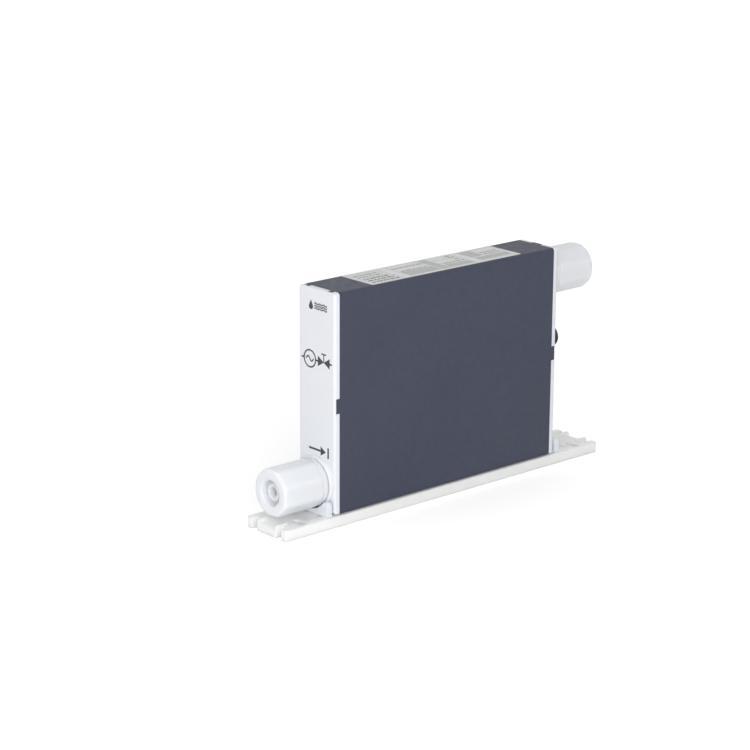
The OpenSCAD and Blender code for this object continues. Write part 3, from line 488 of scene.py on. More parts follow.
# %% Finishes outside
FINISH = {
    # The third colour of each plastic is the lighter one painted on its edges as a highlight.
    "grey_cover": plastic("grey_cover",
                          (0.039, 0.045, 0.076), (0.044, 0.05, 0.082), (0.075, 0.082, 0.115),
                          rough=(0.5, 0.62), grain=2600.0, depth=0.000014, mottle=22.0, edge=0.0006,
                          specular=0.42),
    "white_panel": plastic("white_panel", (0.8, 0.82, 0.865), (0.82, 0.84, 0.88), (0.88, 0.9, 0.935),
                           rough=(0.36, 0.46), grain=1800.0, depth=0.000005, mottle=30.0,
                           milky=0.15, milky_depth=0.0008),
    "clip_plastic": plastic("clip_plastic",
                            (0.78, 0.81, 0.87), (0.82, 0.845, 0.89), (0.88, 0.895, 0.93),
                            rough=(0.34, 0.45), grain=1500.0, depth=0.000006, mottle=90.0,
                            milky=0.3, milky_depth=0.0015),
    "nut_fluoropolymer": plastic("nut_fluoropolymer",
                                 (0.818, 0.841, 0.88), (0.832, 0.853, 0.89), (0.88, 0.9, 0.93),
                                 rough=(0.29, 0.4), grain=700.0, depth=0.000012, mottle=120.0,
                                 edge=0.0005, milky=0.85, milky_depth=0.004),
    "fluoropolymer": plastic("fluoropolymer",
                             (0.92, 0.92, 0.915), (0.95, 0.95, 0.945), (0.95, 0.95, 0.945),
                             rough=(0.29, 0.38), grain=900.0, depth=0.000008, mottle=150.0,
                             milky=0.85, milky_depth=0.005),
    "natural_plastic": plastic("natural_plastic",
                               (0.93, 0.93, 0.915), (0.955, 0.955, 0.945), (0.965, 0.965, 0.955),
                               rough=(0.3, 0.44), grain=900.0, depth=0.000012, mottle=60.0,
                               edge=0.0006, milky=0.85, milky_depth=0.0025),
    "connector_black": plastic("connector_black",
                               (0.012, 0.012, 0.014), (0.018, 0.018, 0.02), (0.05, 0.05, 0.055),
                               rough=(0.29, 0.42), grain=2500.0, depth=0.000008, mottle=300.0,
                               edge=0.0002),
    "black_rubber": plastic("black_rubber",
                            (0.016, 0.016, 0.016), (0.024, 0.024, 0.023), (0.04, 0.04, 0.04),
                            rough=(0.6, 0.75), grain=3500.0, depth=0.00001, mottle=400.0, edge=0.0002),
    "lamp_white": plastic("lamp_white", (0.82, 0.85, 0.86), (0.88, 0.9, 0.91), (0.93, 0.94, 0.95),
                          rough=(0.12, 0.2), grain=500.0, depth=0.000003, mottle=500.0, edge=0.0002,
                          milky=0.5, milky_depth=0.0015),
    "label_film": plastic("label_film", (0.63, 0.645, 0.635), (0.67, 0.685, 0.675), (0.75, 0.76, 0.76),
                          rough=(0.34, 0.44), grain=2200.0, depth=0.000003, mottle=80.0, edge=0.0002),
}
print("finishes outside", sorted(FINISH))

# %% [markdown]
# ### The finishes inside
# The cover hides these, but a reader may open the model, so the valve train and the screws get
# their own finishes too, by the same two functions. The motor's can is painted, so it is built as
# a plastic.

# %% Finishes inside
# The third colour of each plastic is the lighter one painted on its edges as a highlight.
FINISH["dark_plastic"] = plastic("dark_plastic",
                                 (0.04, 0.044, 0.05), (0.052, 0.056, 0.062), (0.09, 0.095, 0.1),
                                 rough=(0.42, 0.56), grain=1600.0, depth=0.000014, mottle=90.0)
FINISH["sheet_aluminium"] = metal("sheet_aluminium", (0.72, 0.73, 0.74), (0.78, 0.785, 0.79),
                                  rough=(0.3, 0.42))
FINISH["steel"] = metal("steel", (0.56, 0.56, 0.57), (0.64, 0.64, 0.645), rough=(0.29, 0.38))
FINISH["bush_brass"] = metal("bush_brass", (0.68, 0.5, 0.22), (0.75, 0.57, 0.28), rough=(0.29, 0.36))
FINISH["motor_metal"] = plastic("motor_metal",
                                (0.25, 0.26, 0.28), (0.29, 0.3, 0.32), (0.42, 0.43, 0.45),
                                rough=(0.32, 0.46), grain=2000.0, depth=0.000008, mottle=120.0)

# %% [markdown]
# ### Circuit board
# A circuit board is a green lacquer over copper tracks. Real tracks would be hundreds of faces, so
# here they are a pattern. The distance to uneven square cells, folded back and forth, draws thin
# lines side by side that turn at right angles, as tracks do.

# %% Board finish
TRACK_CELLS = 260.0
CELL_JITTER = 0.65
TRACK_PITCH = 0.12
TRACK_FROM = 0.055
TRACK_FULL = 0.065
TRACK_RISE = 0.00002
BOARD_GRAIN = 2500.0
BOARD_ROUGH = (0.29, 0.38)
LACQUER = (0.012, 0.075, 0.042)
TRACK = (0.03, 0.14, 0.075)


def board_finish(name):
    """Green lacquer with lighter tracks under it."""
    material = bpy.data.materials.new(name)
    material.use_nodes = True
    nodes, links = material.node_tree.nodes, material.node_tree.links
    shader = nodes["Principled BSDF"]
    place = nodes.new("ShaderNodeTexCoord").outputs["Object"]
    cells = nodes.new("ShaderNodeTexVoronoi")
    cells.distance = "CHEBYCHEV"
    cells.feature = "F2"
    cells.inputs["Scale"].default_value = TRACK_CELLS
    cells.inputs["Randomness"].default_value = CELL_JITTER
    links.new(place, cells.inputs["Vector"])
    lines = nodes.new("ShaderNodeMath")
    lines.operation = "PINGPONG"
    lines.inputs[1].default_value = TRACK_PITCH
    links.new(cells.outputs["Distance"], lines.inputs[0])
    mask = nodes.new("ShaderNodeMapRange")
    mask.inputs["From Min"].default_value = TRACK_FROM
    mask.inputs["From Max"].default_value = TRACK_FULL
    links.new(lines.outputs[0], mask.inputs["Value"])
    mix = nodes.new("ShaderNodeMix")
    mix.data_type = "RGBA"
    mix.inputs[6].default_value = rgba(LACQUER)
    mix.inputs[7].default_value = rgba(TRACK)
    links.new(mask.outputs[0], mix.inputs["Factor"])
    links.new(mix.outputs[2], shader.inputs["Base Color"])
    grains = place_group(nodes, GRAIN, Scale=BOARD_GRAIN)
    links.new(spread_roughness(nodes, links, grains.outputs["Tone"], *BOARD_ROUGH),
              shader.inputs["Roughness"])
    links.new(bump(nodes, links, mask.outputs[0], None, TRACK_RISE), shader.inputs["Normal"])
    return material


FINISH["board_green"] = board_finish("board_green")
print("finishes in all", len(FINISH))

# %% [markdown]
# ### The inks
# Pad printing leaves a thin matt film, a little thinner in places. The plastic's function makes it
# too, with a fast mottle between the full and the thin tone and no painted edge highlight.

# %% Print finishes


def print_finish(name, color, thin, rough=(0.4, 0.5)):
    """Ink that lies a little unevenly on the plastic."""
    return plastic(name, color, thin, color, rough=rough, grain=4000.0, depth=0.000002,
                   mottle=900.0, edge=0.0001)


INK_DARK = print_finish("ink_dark", (0.022, 0.024, 0.032), (0.045, 0.047, 0.055))
INK_GREY = print_finish("ink_grey", (0.3, 0.32, 0.305), (0.35, 0.365, 0.35))
INK_FIELD = print_finish("ink_field", (0.44, 0.465, 0.455), (0.49, 0.51, 0.5))
INK_LIGHT = print_finish("ink_light", (0.74, 0.75, 0.76), (0.79, 0.8, 0.81))
print("inks", [ink.name for ink in (INK_DARK, INK_GREY, INK_FIELD, INK_LIGHT)])

# %% [markdown]
# ## Dress the CAD nodes
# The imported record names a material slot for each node. A list of nodes with their finishes would
# say the same twice, so the finish of that slot goes on the node's own material slots, and the
# mesh stays as it is.

# %% Materials on the CAD nodes
for part in frame["record"]["subparts"]:
    shown = frame["nodes"][part["node"]]
    finish = FINISH[part["material_slot"]]
    if not shown.material_slots:
        shown.data.materials.append(finish)
    for slot in shown.material_slots:
        slot.material = finish
print("dressed", len(frame["nodes"]), "CAD nodes")

# %% [markdown]
# ## Skins from rings
# The nuts, the fittings and the connector are all turned shapes with something extra: flats,
# a thread, a hexagon. A boolean would leave ragged edges, so each is lofted instead. A list of
# stations along the axis gives a ring each, and a ring's radius may change with the angle.

# %% Ring skin
SHARP = math.radians(38)


def link_mesh(name, vertices, faces, material):
    """A mesh object with outward faces, smooth but for its sharp edges."""
    mesh = bpy.data.meshes.new(name)
    mesh.from_pydata(vertices, [], faces)
    work = bmesh.new()
    work.from_mesh(mesh)
    bmesh.ops.recalc_face_normals(work, faces=work.faces)
    work.to_mesh(mesh)
    work.free()
    mesh.shade_smooth()
    mesh.set_sharp_from_angle(angle=SHARP)
    mesh.materials.append(material)
    piece = bpy.data.objects.new(name, mesh)
    bpy.context.scene.collection.objects.link(piece)
    return piece


def ring_skin(name, stations, radius_at, place, material, segments):
    """Lofts a closed skin through rings; the last ring joins the first."""
    vertices = []
    for station in stations:
        for k in range(segments):
            angle = TAU * k / segments
            vertices.append(place(station[0], radius_at(station, angle), angle))
    count = len(stations)
    faces = []
    for a in range(count):
        b = (a + 1) % count
        for k in range(segments):
            n = (k + 1) % segments
            faces.append((a * segments + k, a * segments + n, b * segments + n, b * segments + k))
    return link_mesh(name, vertices, faces, material)


def port_place(start_x, outward, axis_z):
    """Places a ring point: distance outward along X, radius and angle about the port's axis."""
    def place(u, radius, angle):
        return (start_x + outward * u, radius * math.cos(angle), axis_z + radius * math.sin(angle))
    return place


def quarter(center_u, center_r, radius, first, last, steps):
    """Points of an arc from one angle to another, as (u, r) pairs."""
    points = []
    for i in range(steps + 1):
        angle = math.radians(first + (last - first) * i / steps)
        points.append((center_u + radius * math.sin(angle), center_r + radius * math.cos(angle)))
    return points


# %% [markdown]
# ## Union nuts
# The real nuts are moulded from a milky fluoropolymer: a round collar with a shallow groove,
# then eight flats whose corners melt into a round, and a soft free end with a mouth for the
# tube. A bevelled prism would have the same round at every corner and end. A soft minimum of the
# octagon and the round lets them run into one another, in one formula.

# %% Sizes of the nuts
NUT_FLAT = 12.5 * MM
NUT_ROUND = 13.15 * MM
NUT_BLEND = 0.14 * MM
NUT_SIDES = 8
NUT_SEGMENTS = 192
COLLAR_R = 12.9 * MM
COLLAR_L = 3.0 * MM
GROOVE_R = 12.5 * MM
GROOVE_L = 0.8 * MM
SOFT = 0.25 * MM
END_ROUND = 1.8 * MM
MOUTH_R = 7.2 * MM
MOUTH_L = 5.0 * MM
MOUTH_ROUND = 0.5 * MM
WALL_L = 1.6 * MM
HOLE_R = 5.1 * MM
ROOM_R = 7.7 * MM
ROOM_L = 3.0 * MM
SEAT_GAP = 0.05 * MM
THREAD_BORE_R = 9.66 * MM
SOFT_STEPS = 4
END_STEPS = 16
MOUTH_STEPS = 3
FLAT_STEPS = 6
print("nuts", round(2 * NUT_FLAT, 4), "m over the flats")

# %% Cross section of a nut


def soft_min(a, b, blend):
    """The smaller of two lengths, with a rounded change between them."""
    low = min(a, b)
    return low - blend * math.log(math.exp((low - a) / blend) + math.exp((low - b) / blend))


def polygon_radius(flat, sides, angle, turn=0.0):
    """Distance from the middle to a regular polygon's side at an angle."""
    sector = TAU / sides
    local = (angle - turn + sector / 2) % sector - sector / 2
    return flat / math.cos(local)


def nut_radius(station, angle):
    """Round where the station says so, else eight flats under the station's round."""
    u, cap, flats = station
    if not flats:
        return cap
    return soft_min(polygon_radius(NUT_FLAT - flats, NUT_SIDES, angle), cap, NUT_BLEND)


# %% Nut skins


def nut_stations(length):
    """Stations from the collar out along the nut, over its end and back through its bore."""
    # A third value of zero means round, so flats at their full width have a hair of inset
    full = 0.00001 * MM
    stations = [(0.0, COLLAR_R - GROOVE_L / 2, 0)]
    stations += [(u, r, 0) for u, r in quarter(SOFT, COLLAR_R - SOFT, SOFT, -90, 0, SOFT_STEPS)]
    stations += [(u, r, 0) for u, r in
                 quarter(COLLAR_L - GROOVE_L - SOFT, COLLAR_R - SOFT, SOFT, 0, 80, SOFT_STEPS)]
    stations += [(COLLAR_L - GROOVE_L, GROOVE_R + SOFT, 0), (COLLAR_L - GROOVE_L + SOFT, GROOVE_R, 0)]
    stations += [(COLLAR_L, GROOVE_R - SOFT / 2, 0)]
    stations += [(COLLAR_L + SOFT / 2, NUT_ROUND - SOFT, SOFT), (COLLAR_L + SOFT, NUT_ROUND, full)]
    body = length - END_ROUND - COLLAR_L - SOFT
    stations += [(COLLAR_L + SOFT + body * i / FLAT_STEPS, NUT_ROUND, full)
                 for i in range(1, FLAT_STEPS)]
    stations += [(u, r, full) for u, r in
                 quarter(length - END_ROUND, NUT_ROUND - END_ROUND, END_ROUND, 0, 90, END_STEPS)]
    for i in range(MOUTH_STEPS + 1):
        turn = math.radians(90 * i / MOUTH_STEPS)
        stations.append((length - MOUTH_ROUND + MOUTH_ROUND * math.cos(turn),
                         MOUTH_R + MOUTH_ROUND - MOUTH_ROUND * math.sin(turn), 0))
    stations += [(length - MOUTH_L + SOFT, MOUTH_R, 0), (length - MOUTH_L, MOUTH_R - SOFT, 0)]
    stations += [(length - MOUTH_L, HOLE_R + SOFT, 0), (length - MOUTH_L - SOFT, HOLE_R, 0)]
    shoulder = length - MOUTH_L - WALL_L
    seat = shoulder - ROOM_L + SEAT_GAP
    stations += [(shoulder, HOLE_R, 0), (shoulder, ROOM_R, 0), (seat, ROOM_R, 0)]
    stations += [(seat, THREAD_BORE_R, 0), (SOFT, THREAD_BORE_R, 0), (0.0, THREAD_BORE_R + SOFT, 0)]
    return stations


for end, outward, axis_z in (("inlet", -1, inlet_z), ("outlet", 1, outlet_z)):
    low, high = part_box(end + "_nut")
    start = high.x if outward < 0 else low.x
    nut = ring_skin(end + "_union_nut_skin", nut_stations(high.x - low.x), nut_radius,
                    port_place(start, outward, axis_z), FINISH["nut_fluoropolymer"], NUT_SEGMENTS)
    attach(nut, end + "_union_nut")
    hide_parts(end + "_nut")
    print(nut.name, len(nut.data.polygons), "faces")

# %% [markdown]
# ## Threads
# The nuts run on threaded fittings, and the connector has a thread over its whole barrel. A
# profile swept along a helix would have to be cut to length and joined to the rest. Here each ring
# stays flat across the axis, and the thread comes from a radius that falls and rises with the
# angle and the way along, one pitch a turn.

# %% Thread profile
FLANK_STRETCH = 1.3
CREST_SHARE = 0.15


def thread_dip(u, angle, pitch, hand):
    """Zero on a thread's crest, one in its root, with small flats on both."""
    phase = (u / pitch - hand * angle / TAU) % 1
    return min(1.0, max(0.0, abs(2 * phase - 1) * FLANK_STRETCH - CREST_SHARE))


def threaded(first, last, radius, depth, pitch, rows_a_pitch=9):
    """Stations of a thread that fades in and out over half a pitch at its ends."""
    rows = int((last - first) / pitch * rows_a_pitch)
    stations = []
    for i in range(rows + 1):
        u = first + (last - first) * i / rows
        fade = min(1.0, (u - first) / (pitch / 2), (last - u) / (pitch / 2))
        stations.append((u, radius, depth * fade))
    return stations


def plain(points):
    """Stations with no thread."""
    return [(u, r, 0.0) for u, r in points]


# %% [markdown]
# ### Threaded fittings
# Each fitting is one turned piece: a tail for the measuring tube or the valve, a flange behind the
# panel, the thread, and a nose with the socket that takes the sleeve. One walk of stations goes
# out along its outside and back through its bore.

# %% Threaded fittings
THREAD_R = 9.6 * MM
THREAD_PITCH = 2.0 * MM
THREAD_DEPTH = 0.95 * MM
FITTING_SEGMENTS = 96
PANEL_FACE_T = 2.0 * MM
FLANGE_T = 4.0 * MM
FLANGE_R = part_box("inlet_fitting")[1].y
NOSE_R = 8.4 * MM
NOSE_L = 1.5 * MM
SOCKET_R = 6.2 * MM
SOCKET_L = 6.5 * MM
NOSE_DROP = 0.2 * MM
TUBE_R = 4.75 * MM
BORE_R = 3.0 * MM


def fitting_skin(end, outward, face_x, axis_z):
    """The union body that the nut runs on, with its flange behind the panel and its thread."""
    low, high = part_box(end + "_fitting")
    tip = (face_x - low.x) if outward < 0 else (high.x - face_x)
    tail = (face_x - high.x) if outward < 0 else (low.x - face_x)
    thread_end = tip - NOSE_L
    flange_back = -PANEL_FACE_T - FLANGE_T
    stations = plain([(tail, BORE_R), (tail, TUBE_R), (flange_back, TUBE_R), (flange_back, FLANGE_R),
                      (-PANEL_FACE_T, FLANGE_R), (-PANEL_FACE_T, THREAD_R), (0.0, THREAD_R)])
    stations += threaded(SOFT, thread_end, THREAD_R, THREAD_DEPTH, THREAD_PITCH)
    stations += plain([(tip, NOSE_R), (tip, SOCKET_R + NOSE_DROP), (tip - NOSE_DROP, SOCKET_R),
                       (tip - SOCKET_L, SOCKET_R), (tip - SOCKET_L, BORE_R)])

    def radius_at(station, angle):
        u, radius, depth = station
        return radius - depth * thread_dip(u, angle, THREAD_PITCH, outward)

    piece = ring_skin(end + "_threaded_fitting", stations, radius_at, port_place(face_x, outward, axis_z),
                      FINISH["fluoropolymer"], FITTING_SEGMENTS)
    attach(piece, "housing")
    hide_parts(end + "_fitting")
    return piece


for end, outward, face_x, axis_z in (("inlet", -1, inlet_face_x, inlet_z),
                                     ("outlet", 1, outlet_face_x, outlet_z)):
    piece = fitting_skin(end, outward, face_x, axis_z)
    print(piece.name, len(piece.data.polygons), "faces")

# %% [markdown]
# ## Round connector
# A black panel connector: a sealing flange, a hexagon to hold it while the lock nut goes on, a
# neck, and a barrel with a one millimetre thread for the plug's ring. Its far end is open, and
# the insert with its four pins sits inside. Joined cylinders would leave faces inside one another,
# so the shell is one skin too, and each station says if it is round, threaded or hexagonal.

# %% Connector shell
SEAL_T = 0.8 * MM
CONNECTOR_FLANGE_R = 8.2 * MM
CONNECTOR_FLANGE_T = 1.5 * MM
HEX_CORNER_R = 7.6 * MM
HEX_SIDES = 6
HEX_L = 3.0 * MM
NECK_R = 5.2 * MM
NECK_L = 1.2 * MM
BARREL_R = 6.0 * MM
BARREL_PITCH = 1.0 * MM
BARREL_DEPTH = 0.5 * MM
BARREL_CHAMFER = 0.4 * MM
SHANK_R = 5.6 * MM
SOCKET_IN_R = 4.6 * MM
SOCKET_IN_L = 8.0 * MM
SHELL_BORE_R = 3.5 * MM
CHAMFER = 0.3 * MM
CONNECTOR_SEGMENTS = 120


def connector_stations(tail, end):
    """Stations from the shell's tail inside the housing to its open end and back inside."""
    flange = SEAL_T + CONNECTOR_FLANGE_T
    hexagon = flange + HEX_L
    barrel = hexagon + NECK_L
    stations = [(tail, SHANK_R, 0, 0), (SEAL_T, SHANK_R, 0, 0)]
    stations += [(SEAL_T, CONNECTOR_FLANGE_R - CHAMFER, 0, 0), (SEAL_T + CHAMFER, CONNECTOR_FLANGE_R, 0, 0)]
    stations += [(flange - CHAMFER, CONNECTOR_FLANGE_R, 0, 0), (flange, CONNECTOR_FLANGE_R - CHAMFER, 0, 0)]
    stations += [(flange, HEX_CORNER_R, 0, 1), (hexagon - CHAMFER, HEX_CORNER_R, 0, 1)]
    stations += [(hexagon, HEX_CORNER_R - 2 * CHAMFER, 0, 1)]
    stations += [(hexagon, NECK_R, 0, 0), (barrel, NECK_R, 0, 0)]
    turns = threaded(barrel, end - BARREL_CHAMFER, BARREL_R, BARREL_DEPTH, BARREL_PITCH)
    stations += [(u, r, depth, 0) for u, r, depth in turns]
    stations += [(end, BARREL_R - BARREL_CHAMFER, 0, 0), (end, SOCKET_IN_R + CHAMFER / 2, 0, 0)]
    stations += [(end - CHAMFER / 2, SOCKET_IN_R, 0, 0), (end - SOCKET_IN_L, SOCKET_IN_R, 0, 0)]
    stations += [(end - SOCKET_IN_L, SHELL_BORE_R, 0, 0), (tail, SHELL_BORE_R, 0, 0)]
    return stations


def connector_radius(station, angle):
    """Round, threaded, or under the hexagon."""
    u, radius, depth, hexagonal = station
    if hexagonal:
        half_side = math.pi / HEX_SIDES
        return min(radius, polygon_radius(HEX_CORNER_R * math.cos(half_side), HEX_SIDES, angle, half_side))
    return radius - depth * thread_dip(u, angle, BARREL_PITCH, 1)


shell_low, shell_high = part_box("connector_shell")
shell_stations = connector_stations(shell_low.x - outlet_face_x, shell_high.x - outlet_face_x)
connector = ring_skin("connector_barrel", shell_stations, connector_radius,
                      port_place(outlet_face_x, 1, connector_z), FINISH["connector_black"],
                      CONNECTOR_SEGMENTS)
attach(connector, "housing")
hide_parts("connector_shell")
print(connector.name, len(connector.data.polygons), "faces")

# %% [markdown]
# ## Lamp lenses
# Each light pipe ends in a low clear dome, so that its light shows from the side as well. A
# squashed ball would hide half its faces in the pipe, so each dome is half a ball of rings with a
# flat bottom.

# %% Lamp lenses
PIPE_R = 1.7 * MM
LENS_R = 1.66 * MM
LENS_RISE = 0.35 * MM
LENS_STEPS = 7
LENS_SEGMENTS = 40

pipe_tip_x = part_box("light_pipes")[1].x
lamp_pitch = (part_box("light_pipes")[1].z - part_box("light_pipes")[0].z - 2 * PIPE_R) / 2
lens_vertices = []
lens_faces = []
for lamp in (-1, 0, 1):
    first = len(lens_vertices)
    for i in range(LENS_STEPS):
        rise = math.radians(90 * i / LENS_STEPS)
        for k in range(LENS_SEGMENTS):
            angle = TAU * k / LENS_SEGMENTS
            lens_vertices.append((pipe_tip_x + LENS_RISE * math.sin(rise),
                                  lamp_y + LENS_R * math.cos(rise) * math.cos(angle),
                                  lamp_z + lamp * lamp_pitch + LENS_R * math.cos(rise) * math.sin(angle)))
    lens_vertices.append((pipe_tip_x + LENS_RISE, lamp_y, lamp_z + lamp * lamp_pitch))
    top = len(lens_vertices) - 1
    for i in range(LENS_STEPS - 1):
        for k in range(LENS_SEGMENTS):
            n = (k + 1) % LENS_SEGMENTS
            row = first + i * LENS_SEGMENTS
            lens_faces.append((row + k, row + n, row + LENS_SEGMENTS + n, row + LENS_SEGMENTS + k))
    row = first + (LENS_STEPS - 1) * LENS_SEGMENTS
    lens_faces += [(row + k, row + (k + 1) % LENS_SEGMENTS, top) for k in range(LENS_SEGMENTS)]
    lens_faces.append([first + k for k in range(LENS_SEGMENTS)])
lenses = link_mesh("lamp_lenses", lens_vertices, lens_faces, FINISH["lamp_white"])
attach(lenses, "housing")
print("lenses at pitch", round(lamp_pitch, 5))

# %% [markdown]
# ## Print on flat faces
# Both panels are printed with plain signs: an arrow at each port, a drop, a plug, a meter and a
# valve. A sign could be painted from an image or cut as a decal. Here it is a thin layer of ink
# with real thickness, built from outlines, so it needs no image and stays sharp from close by.
# Outlines that follow one another differ a hair in thickness, so no two tops share a plane where
# they overlap.

# %% Ink helpers
INK_T = 0.05 * MM
INK_SINK = 0.02 * MM
LAYER_STEP = 0.003 * MM
LAYERS = 3
RING_STEPS = 40


class Ink:
    """Collects outlines on one flat face and turns them into one thin piece."""

    def __init__(self, to_space):
        self.to_space = to_space
        self.vertices = []
        self.faces = []
        self.outlines = 0

    def outline(self, points):
        """A filled outline of (a, b) points, as a closed slab."""
        first = len(self.vertices)
        count = len(points)
        top = INK_T + LAYER_STEP * (self.outlines % LAYERS)
        self.outlines += 1
        for height in (-INK_SINK, top):
            self.vertices += [self.to_space(a, b, height) for a, b in points]
        self.faces.append([first + i for i in range(count)])
        self.faces.append([first + count + i for i in reversed(range(count))])
        for i in range(count):
            n = (i + 1) % count
            self.faces.append((first + i, first + n, first + count + n, first + count + i))

    def ring(self, a, b, radius, width, start=0.0, end=360.0):
        """A round line about (a, b); less than a full turn gives an arc."""
        steps = int(RING_STEPS * (end - start) / 360)
        outer = []
        inner = []
        for i in range(steps + 1):
            angle = math.radians(start + (end - start) * i / steps)
            for edge, away in ((outer, radius + width / 2), (inner, radius - width / 2)):
                edge.append((a + away * math.cos(angle), b + away * math.sin(angle)))
        for i in range(steps):
            self.outline([outer[i], outer[i + 1], inner[i + 1], inner[i]])

    def bar(self, a0, b0, a1, b1):
        """A filled rectangle between two corners."""
        self.outline([(a0, b0), (a1, b0), (a1, b1), (a0, b1)])

    def line(self, points, width):
        """A line of a width through points, as a square-ended slab for each stretch."""
        for (a0, b0), (a1, b1) in zip(points, points[1:]):
            way = Vector((a1 - a0, b1 - b0)).normalized() * width / 2
            self.outline([(a0 - way.x + way.y, b0 - way.y - way.x),
                          (a1 + way.x + way.y, b1 + way.y - way.x),
                          (a1 + way.x - way.y, b1 + way.y + way.x),
                          (a0 - way.x - way.y, b0 - way.y + way.x)])

    def piece(self, name, material, slot):
        """The finished print, riding the housing."""
        made = link_mesh(name, self.vertices, self.faces, material)
        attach(made, "housing")
        print(name, len(self.faces), "faces")
        return made


# %% Faces that take ink


def on_inlet_panel(a, b, height):
    """a runs to the reader's right on the panel that faces against X, b is Z."""
    return (inlet_face_x - height, -a, b)


def on_outlet_panel(a, b, height):
    """The same on the panel that faces along X."""
    return (outlet_face_x + height, a, b)


def on_label(a, b, height):
    """a runs along the body, b across it to the far side."""
    return (a, b, label_high.z + height)


# %% [markdown]
# ### Signs
# Each sign is a small function of its middle and its size, so the valve sign beside a lamp and
# the large one on the inlet panel are the same drawing. The numbers in it are shares of its size.

# %% Sign functions
DROP_STEPS = 28
POWER_RING_DEGREES = (125, 415)


def arrow_sign(ink, a, b, size, bar_first):
    """An arrow to the right with a bar before it, for out, or after it, for in."""
    half = size / 2
    thick = size * 0.07
    tip = a + half - (0 if bar_first else 2.2 * thick)
    tail = a - half + (2.2 * thick if bar_first else 0)
    ink.bar(tail, b - thick / 2, tip - size * 0.22, b + thick / 2)
    ink.outline([(tip - size * 0.26, b - size * 0.16), (tip, b), (tip - size * 0.26, b + size * 0.16)])
    bar_a = a - half if bar_first else a + half - thick
    ink.bar(bar_a, b - size * 0.18, bar_a + thick, b + size * 0.18)


def drop_sign(ink, a, b, size):
    """A drop: a circle below and two straight flanks up to a point."""
    radius = size * 0.32
    center = b - size * 0.18
    lean = math.acos(radius / (b + size / 2 - center))
    points = [(a, b + size / 2)]
    for i in range(DROP_STEPS + 1):
        angle = math.pi / 2 + lean + (TAU - 2 * lean) * i / DROP_STEPS
        points.append((a + radius * math.cos(angle), center + radius * math.sin(angle)))
    ink.outline(points)


def wave_points(a, b, size, height, waves):
    """Points of a wavy line about (a, b), ten for each wave."""
    steps = 10 * waves
    return [(a - size / 2 + size * i / steps, b + height * math.sin(TAU * waves * i / steps))
            for i in range(steps + 1)]


def meter_sign(ink, a, b, size):
    """A round meter with a wave in it."""
    ink.ring(a, b, size / 2, size * 0.09)
    ink.line(wave_points(a, b, size * 0.6, size * 0.13, 1), size * 0.08)


def valve_sign(ink, a, b, size):
    """Two triangles point to point, with a stem and a cap above."""
    half = size / 2
    tall = size * 0.3
    ink.outline([(a - half, b - tall), (a, b), (a - half, b + tall)])
    ink.outline([(a + half, b - tall), (a, b), (a + half, b + tall)])
    ink.bar(a - size * 0.035, b, a + size * 0.035, b + size * 0.45)
    ink.bar(a - size * 0.2, b + size * 0.42, a + size * 0.2, b + size * 0.5)


def power_sign(ink, a, b, size):
    """A broken ring with a bar at its gap."""
    ink.ring(a, b, size * 0.38, size * 0.1, *POWER_RING_DEGREES)
    ink.bar(a - size * 0.05, b + size * 0.05, a + size * 0.05, b + size * 0.5)


def plug_sign(ink, a, b, size):
    """A plug in its socket, seen from the side, with a lead."""
    ink.bar(a - size * 0.5, b - size * 0.04, a - size * 0.18, b + size * 0.04)
    ink.bar(a - size * 0.2, b - size * 0.17, a + size * 0.06, b + size * 0.17)
    for side_b in (-0.09, 0.09):
        ink.bar(a + size * 0.04, b + size * (side_b - 0.025), a + size * 0.2, b + size * (side_b + 0.025))
    ink.ring(a + size * 0.3, b, size * 0.2, size * 0.06, 90, 270)
    ink.bar(a + size * 0.3, b - size * 0.23, a + size * 0.5, b - size * 0.17)
    ink.bar(a + size * 0.3, b + size * 0.17, a + size * 0.5, b + size * 0.23)


# %% [markdown]
# ### Signs on the panels
# The arrow at each port says which way the flow goes, the meter and the valve say what is inside,
# and each lamp has its own small sign. Their places are measured from the panel's middle line and
# from the rail's underside.

# %% Signs on the inlet panel
WATER_B = 117.4 * MM
DROP_UP = 0.2 * MM
WAVE_GAP = 1.3 * MM
WAVE_W = 0.6 * MM
TRAIN_B = 88.2 * MM
TRAIN_W = 0.9 * MM
INLET_ARROW_B = 39.4 * MM

inlet_ink = Ink(on_inlet_panel)
drop_sign(inlet_ink, -4.4 * MM, WATER_B + DROP_UP, 5.2 * MM)
for row in (-1, 0, 1):
    inlet_ink.line(wave_points(3.4 * MM, WATER_B + row * WAVE_GAP, 9.6 * MM, 0.35 * MM, 3), WAVE_W)
inlet_ink.line([(-11.6 * MM, TRAIN_B), (-10.0 * MM, TRAIN_B)], TRAIN_W)
meter_sign(inlet_ink, -5.4 * MM, TRAIN_B, 9.2 * MM)
inlet_ink.line([(-0.8 * MM, TRAIN_B), (1.2 * MM, TRAIN_B)], TRAIN_W)
valve_sign(inlet_ink, 5.8 * MM, TRAIN_B, 9.4 * MM)
inlet_ink.line([(10.4 * MM, TRAIN_B), (11.8 * MM, TRAIN_B)], TRAIN_W)
arrow_sign(inlet_ink, 1.8 * MM, INLET_ARROW_B, 16.0 * MM, False)
inlet_ink.piece("inlet_panel_signs", INK_DARK, "connector_black")

# %% Signs on the outlet panel
MIDDLE_A = 0.5 * MM
OUTLET_ARROW_B = 91.5 * MM
PLUG_B = 59.0 * MM
LAMP_SIGN_A = 3.2 * MM
LAMP_SIGN = 3.6 * MM

outlet_ink = Ink(on_outlet_panel)
arrow_sign(outlet_ink, MIDDLE_A, OUTLET_ARROW_B, 15.0 * MM, True)
plug_sign(outlet_ink, MIDDLE_A, PLUG_B, 13.0 * MM)
power_sign(outlet_ink, LAMP_SIGN_A, lamp_z + lamp_pitch, LAMP_SIGN)
meter_sign(outlet_ink, LAMP_SIGN_A, lamp_z, LAMP_SIGN)
valve_sign(outlet_ink, LAMP_SIGN_A, lamp_z - lamp_pitch, LAMP_SIGN)
outlet_ink.piece("outlet_panel_signs", INK_DARK, "connector_black")

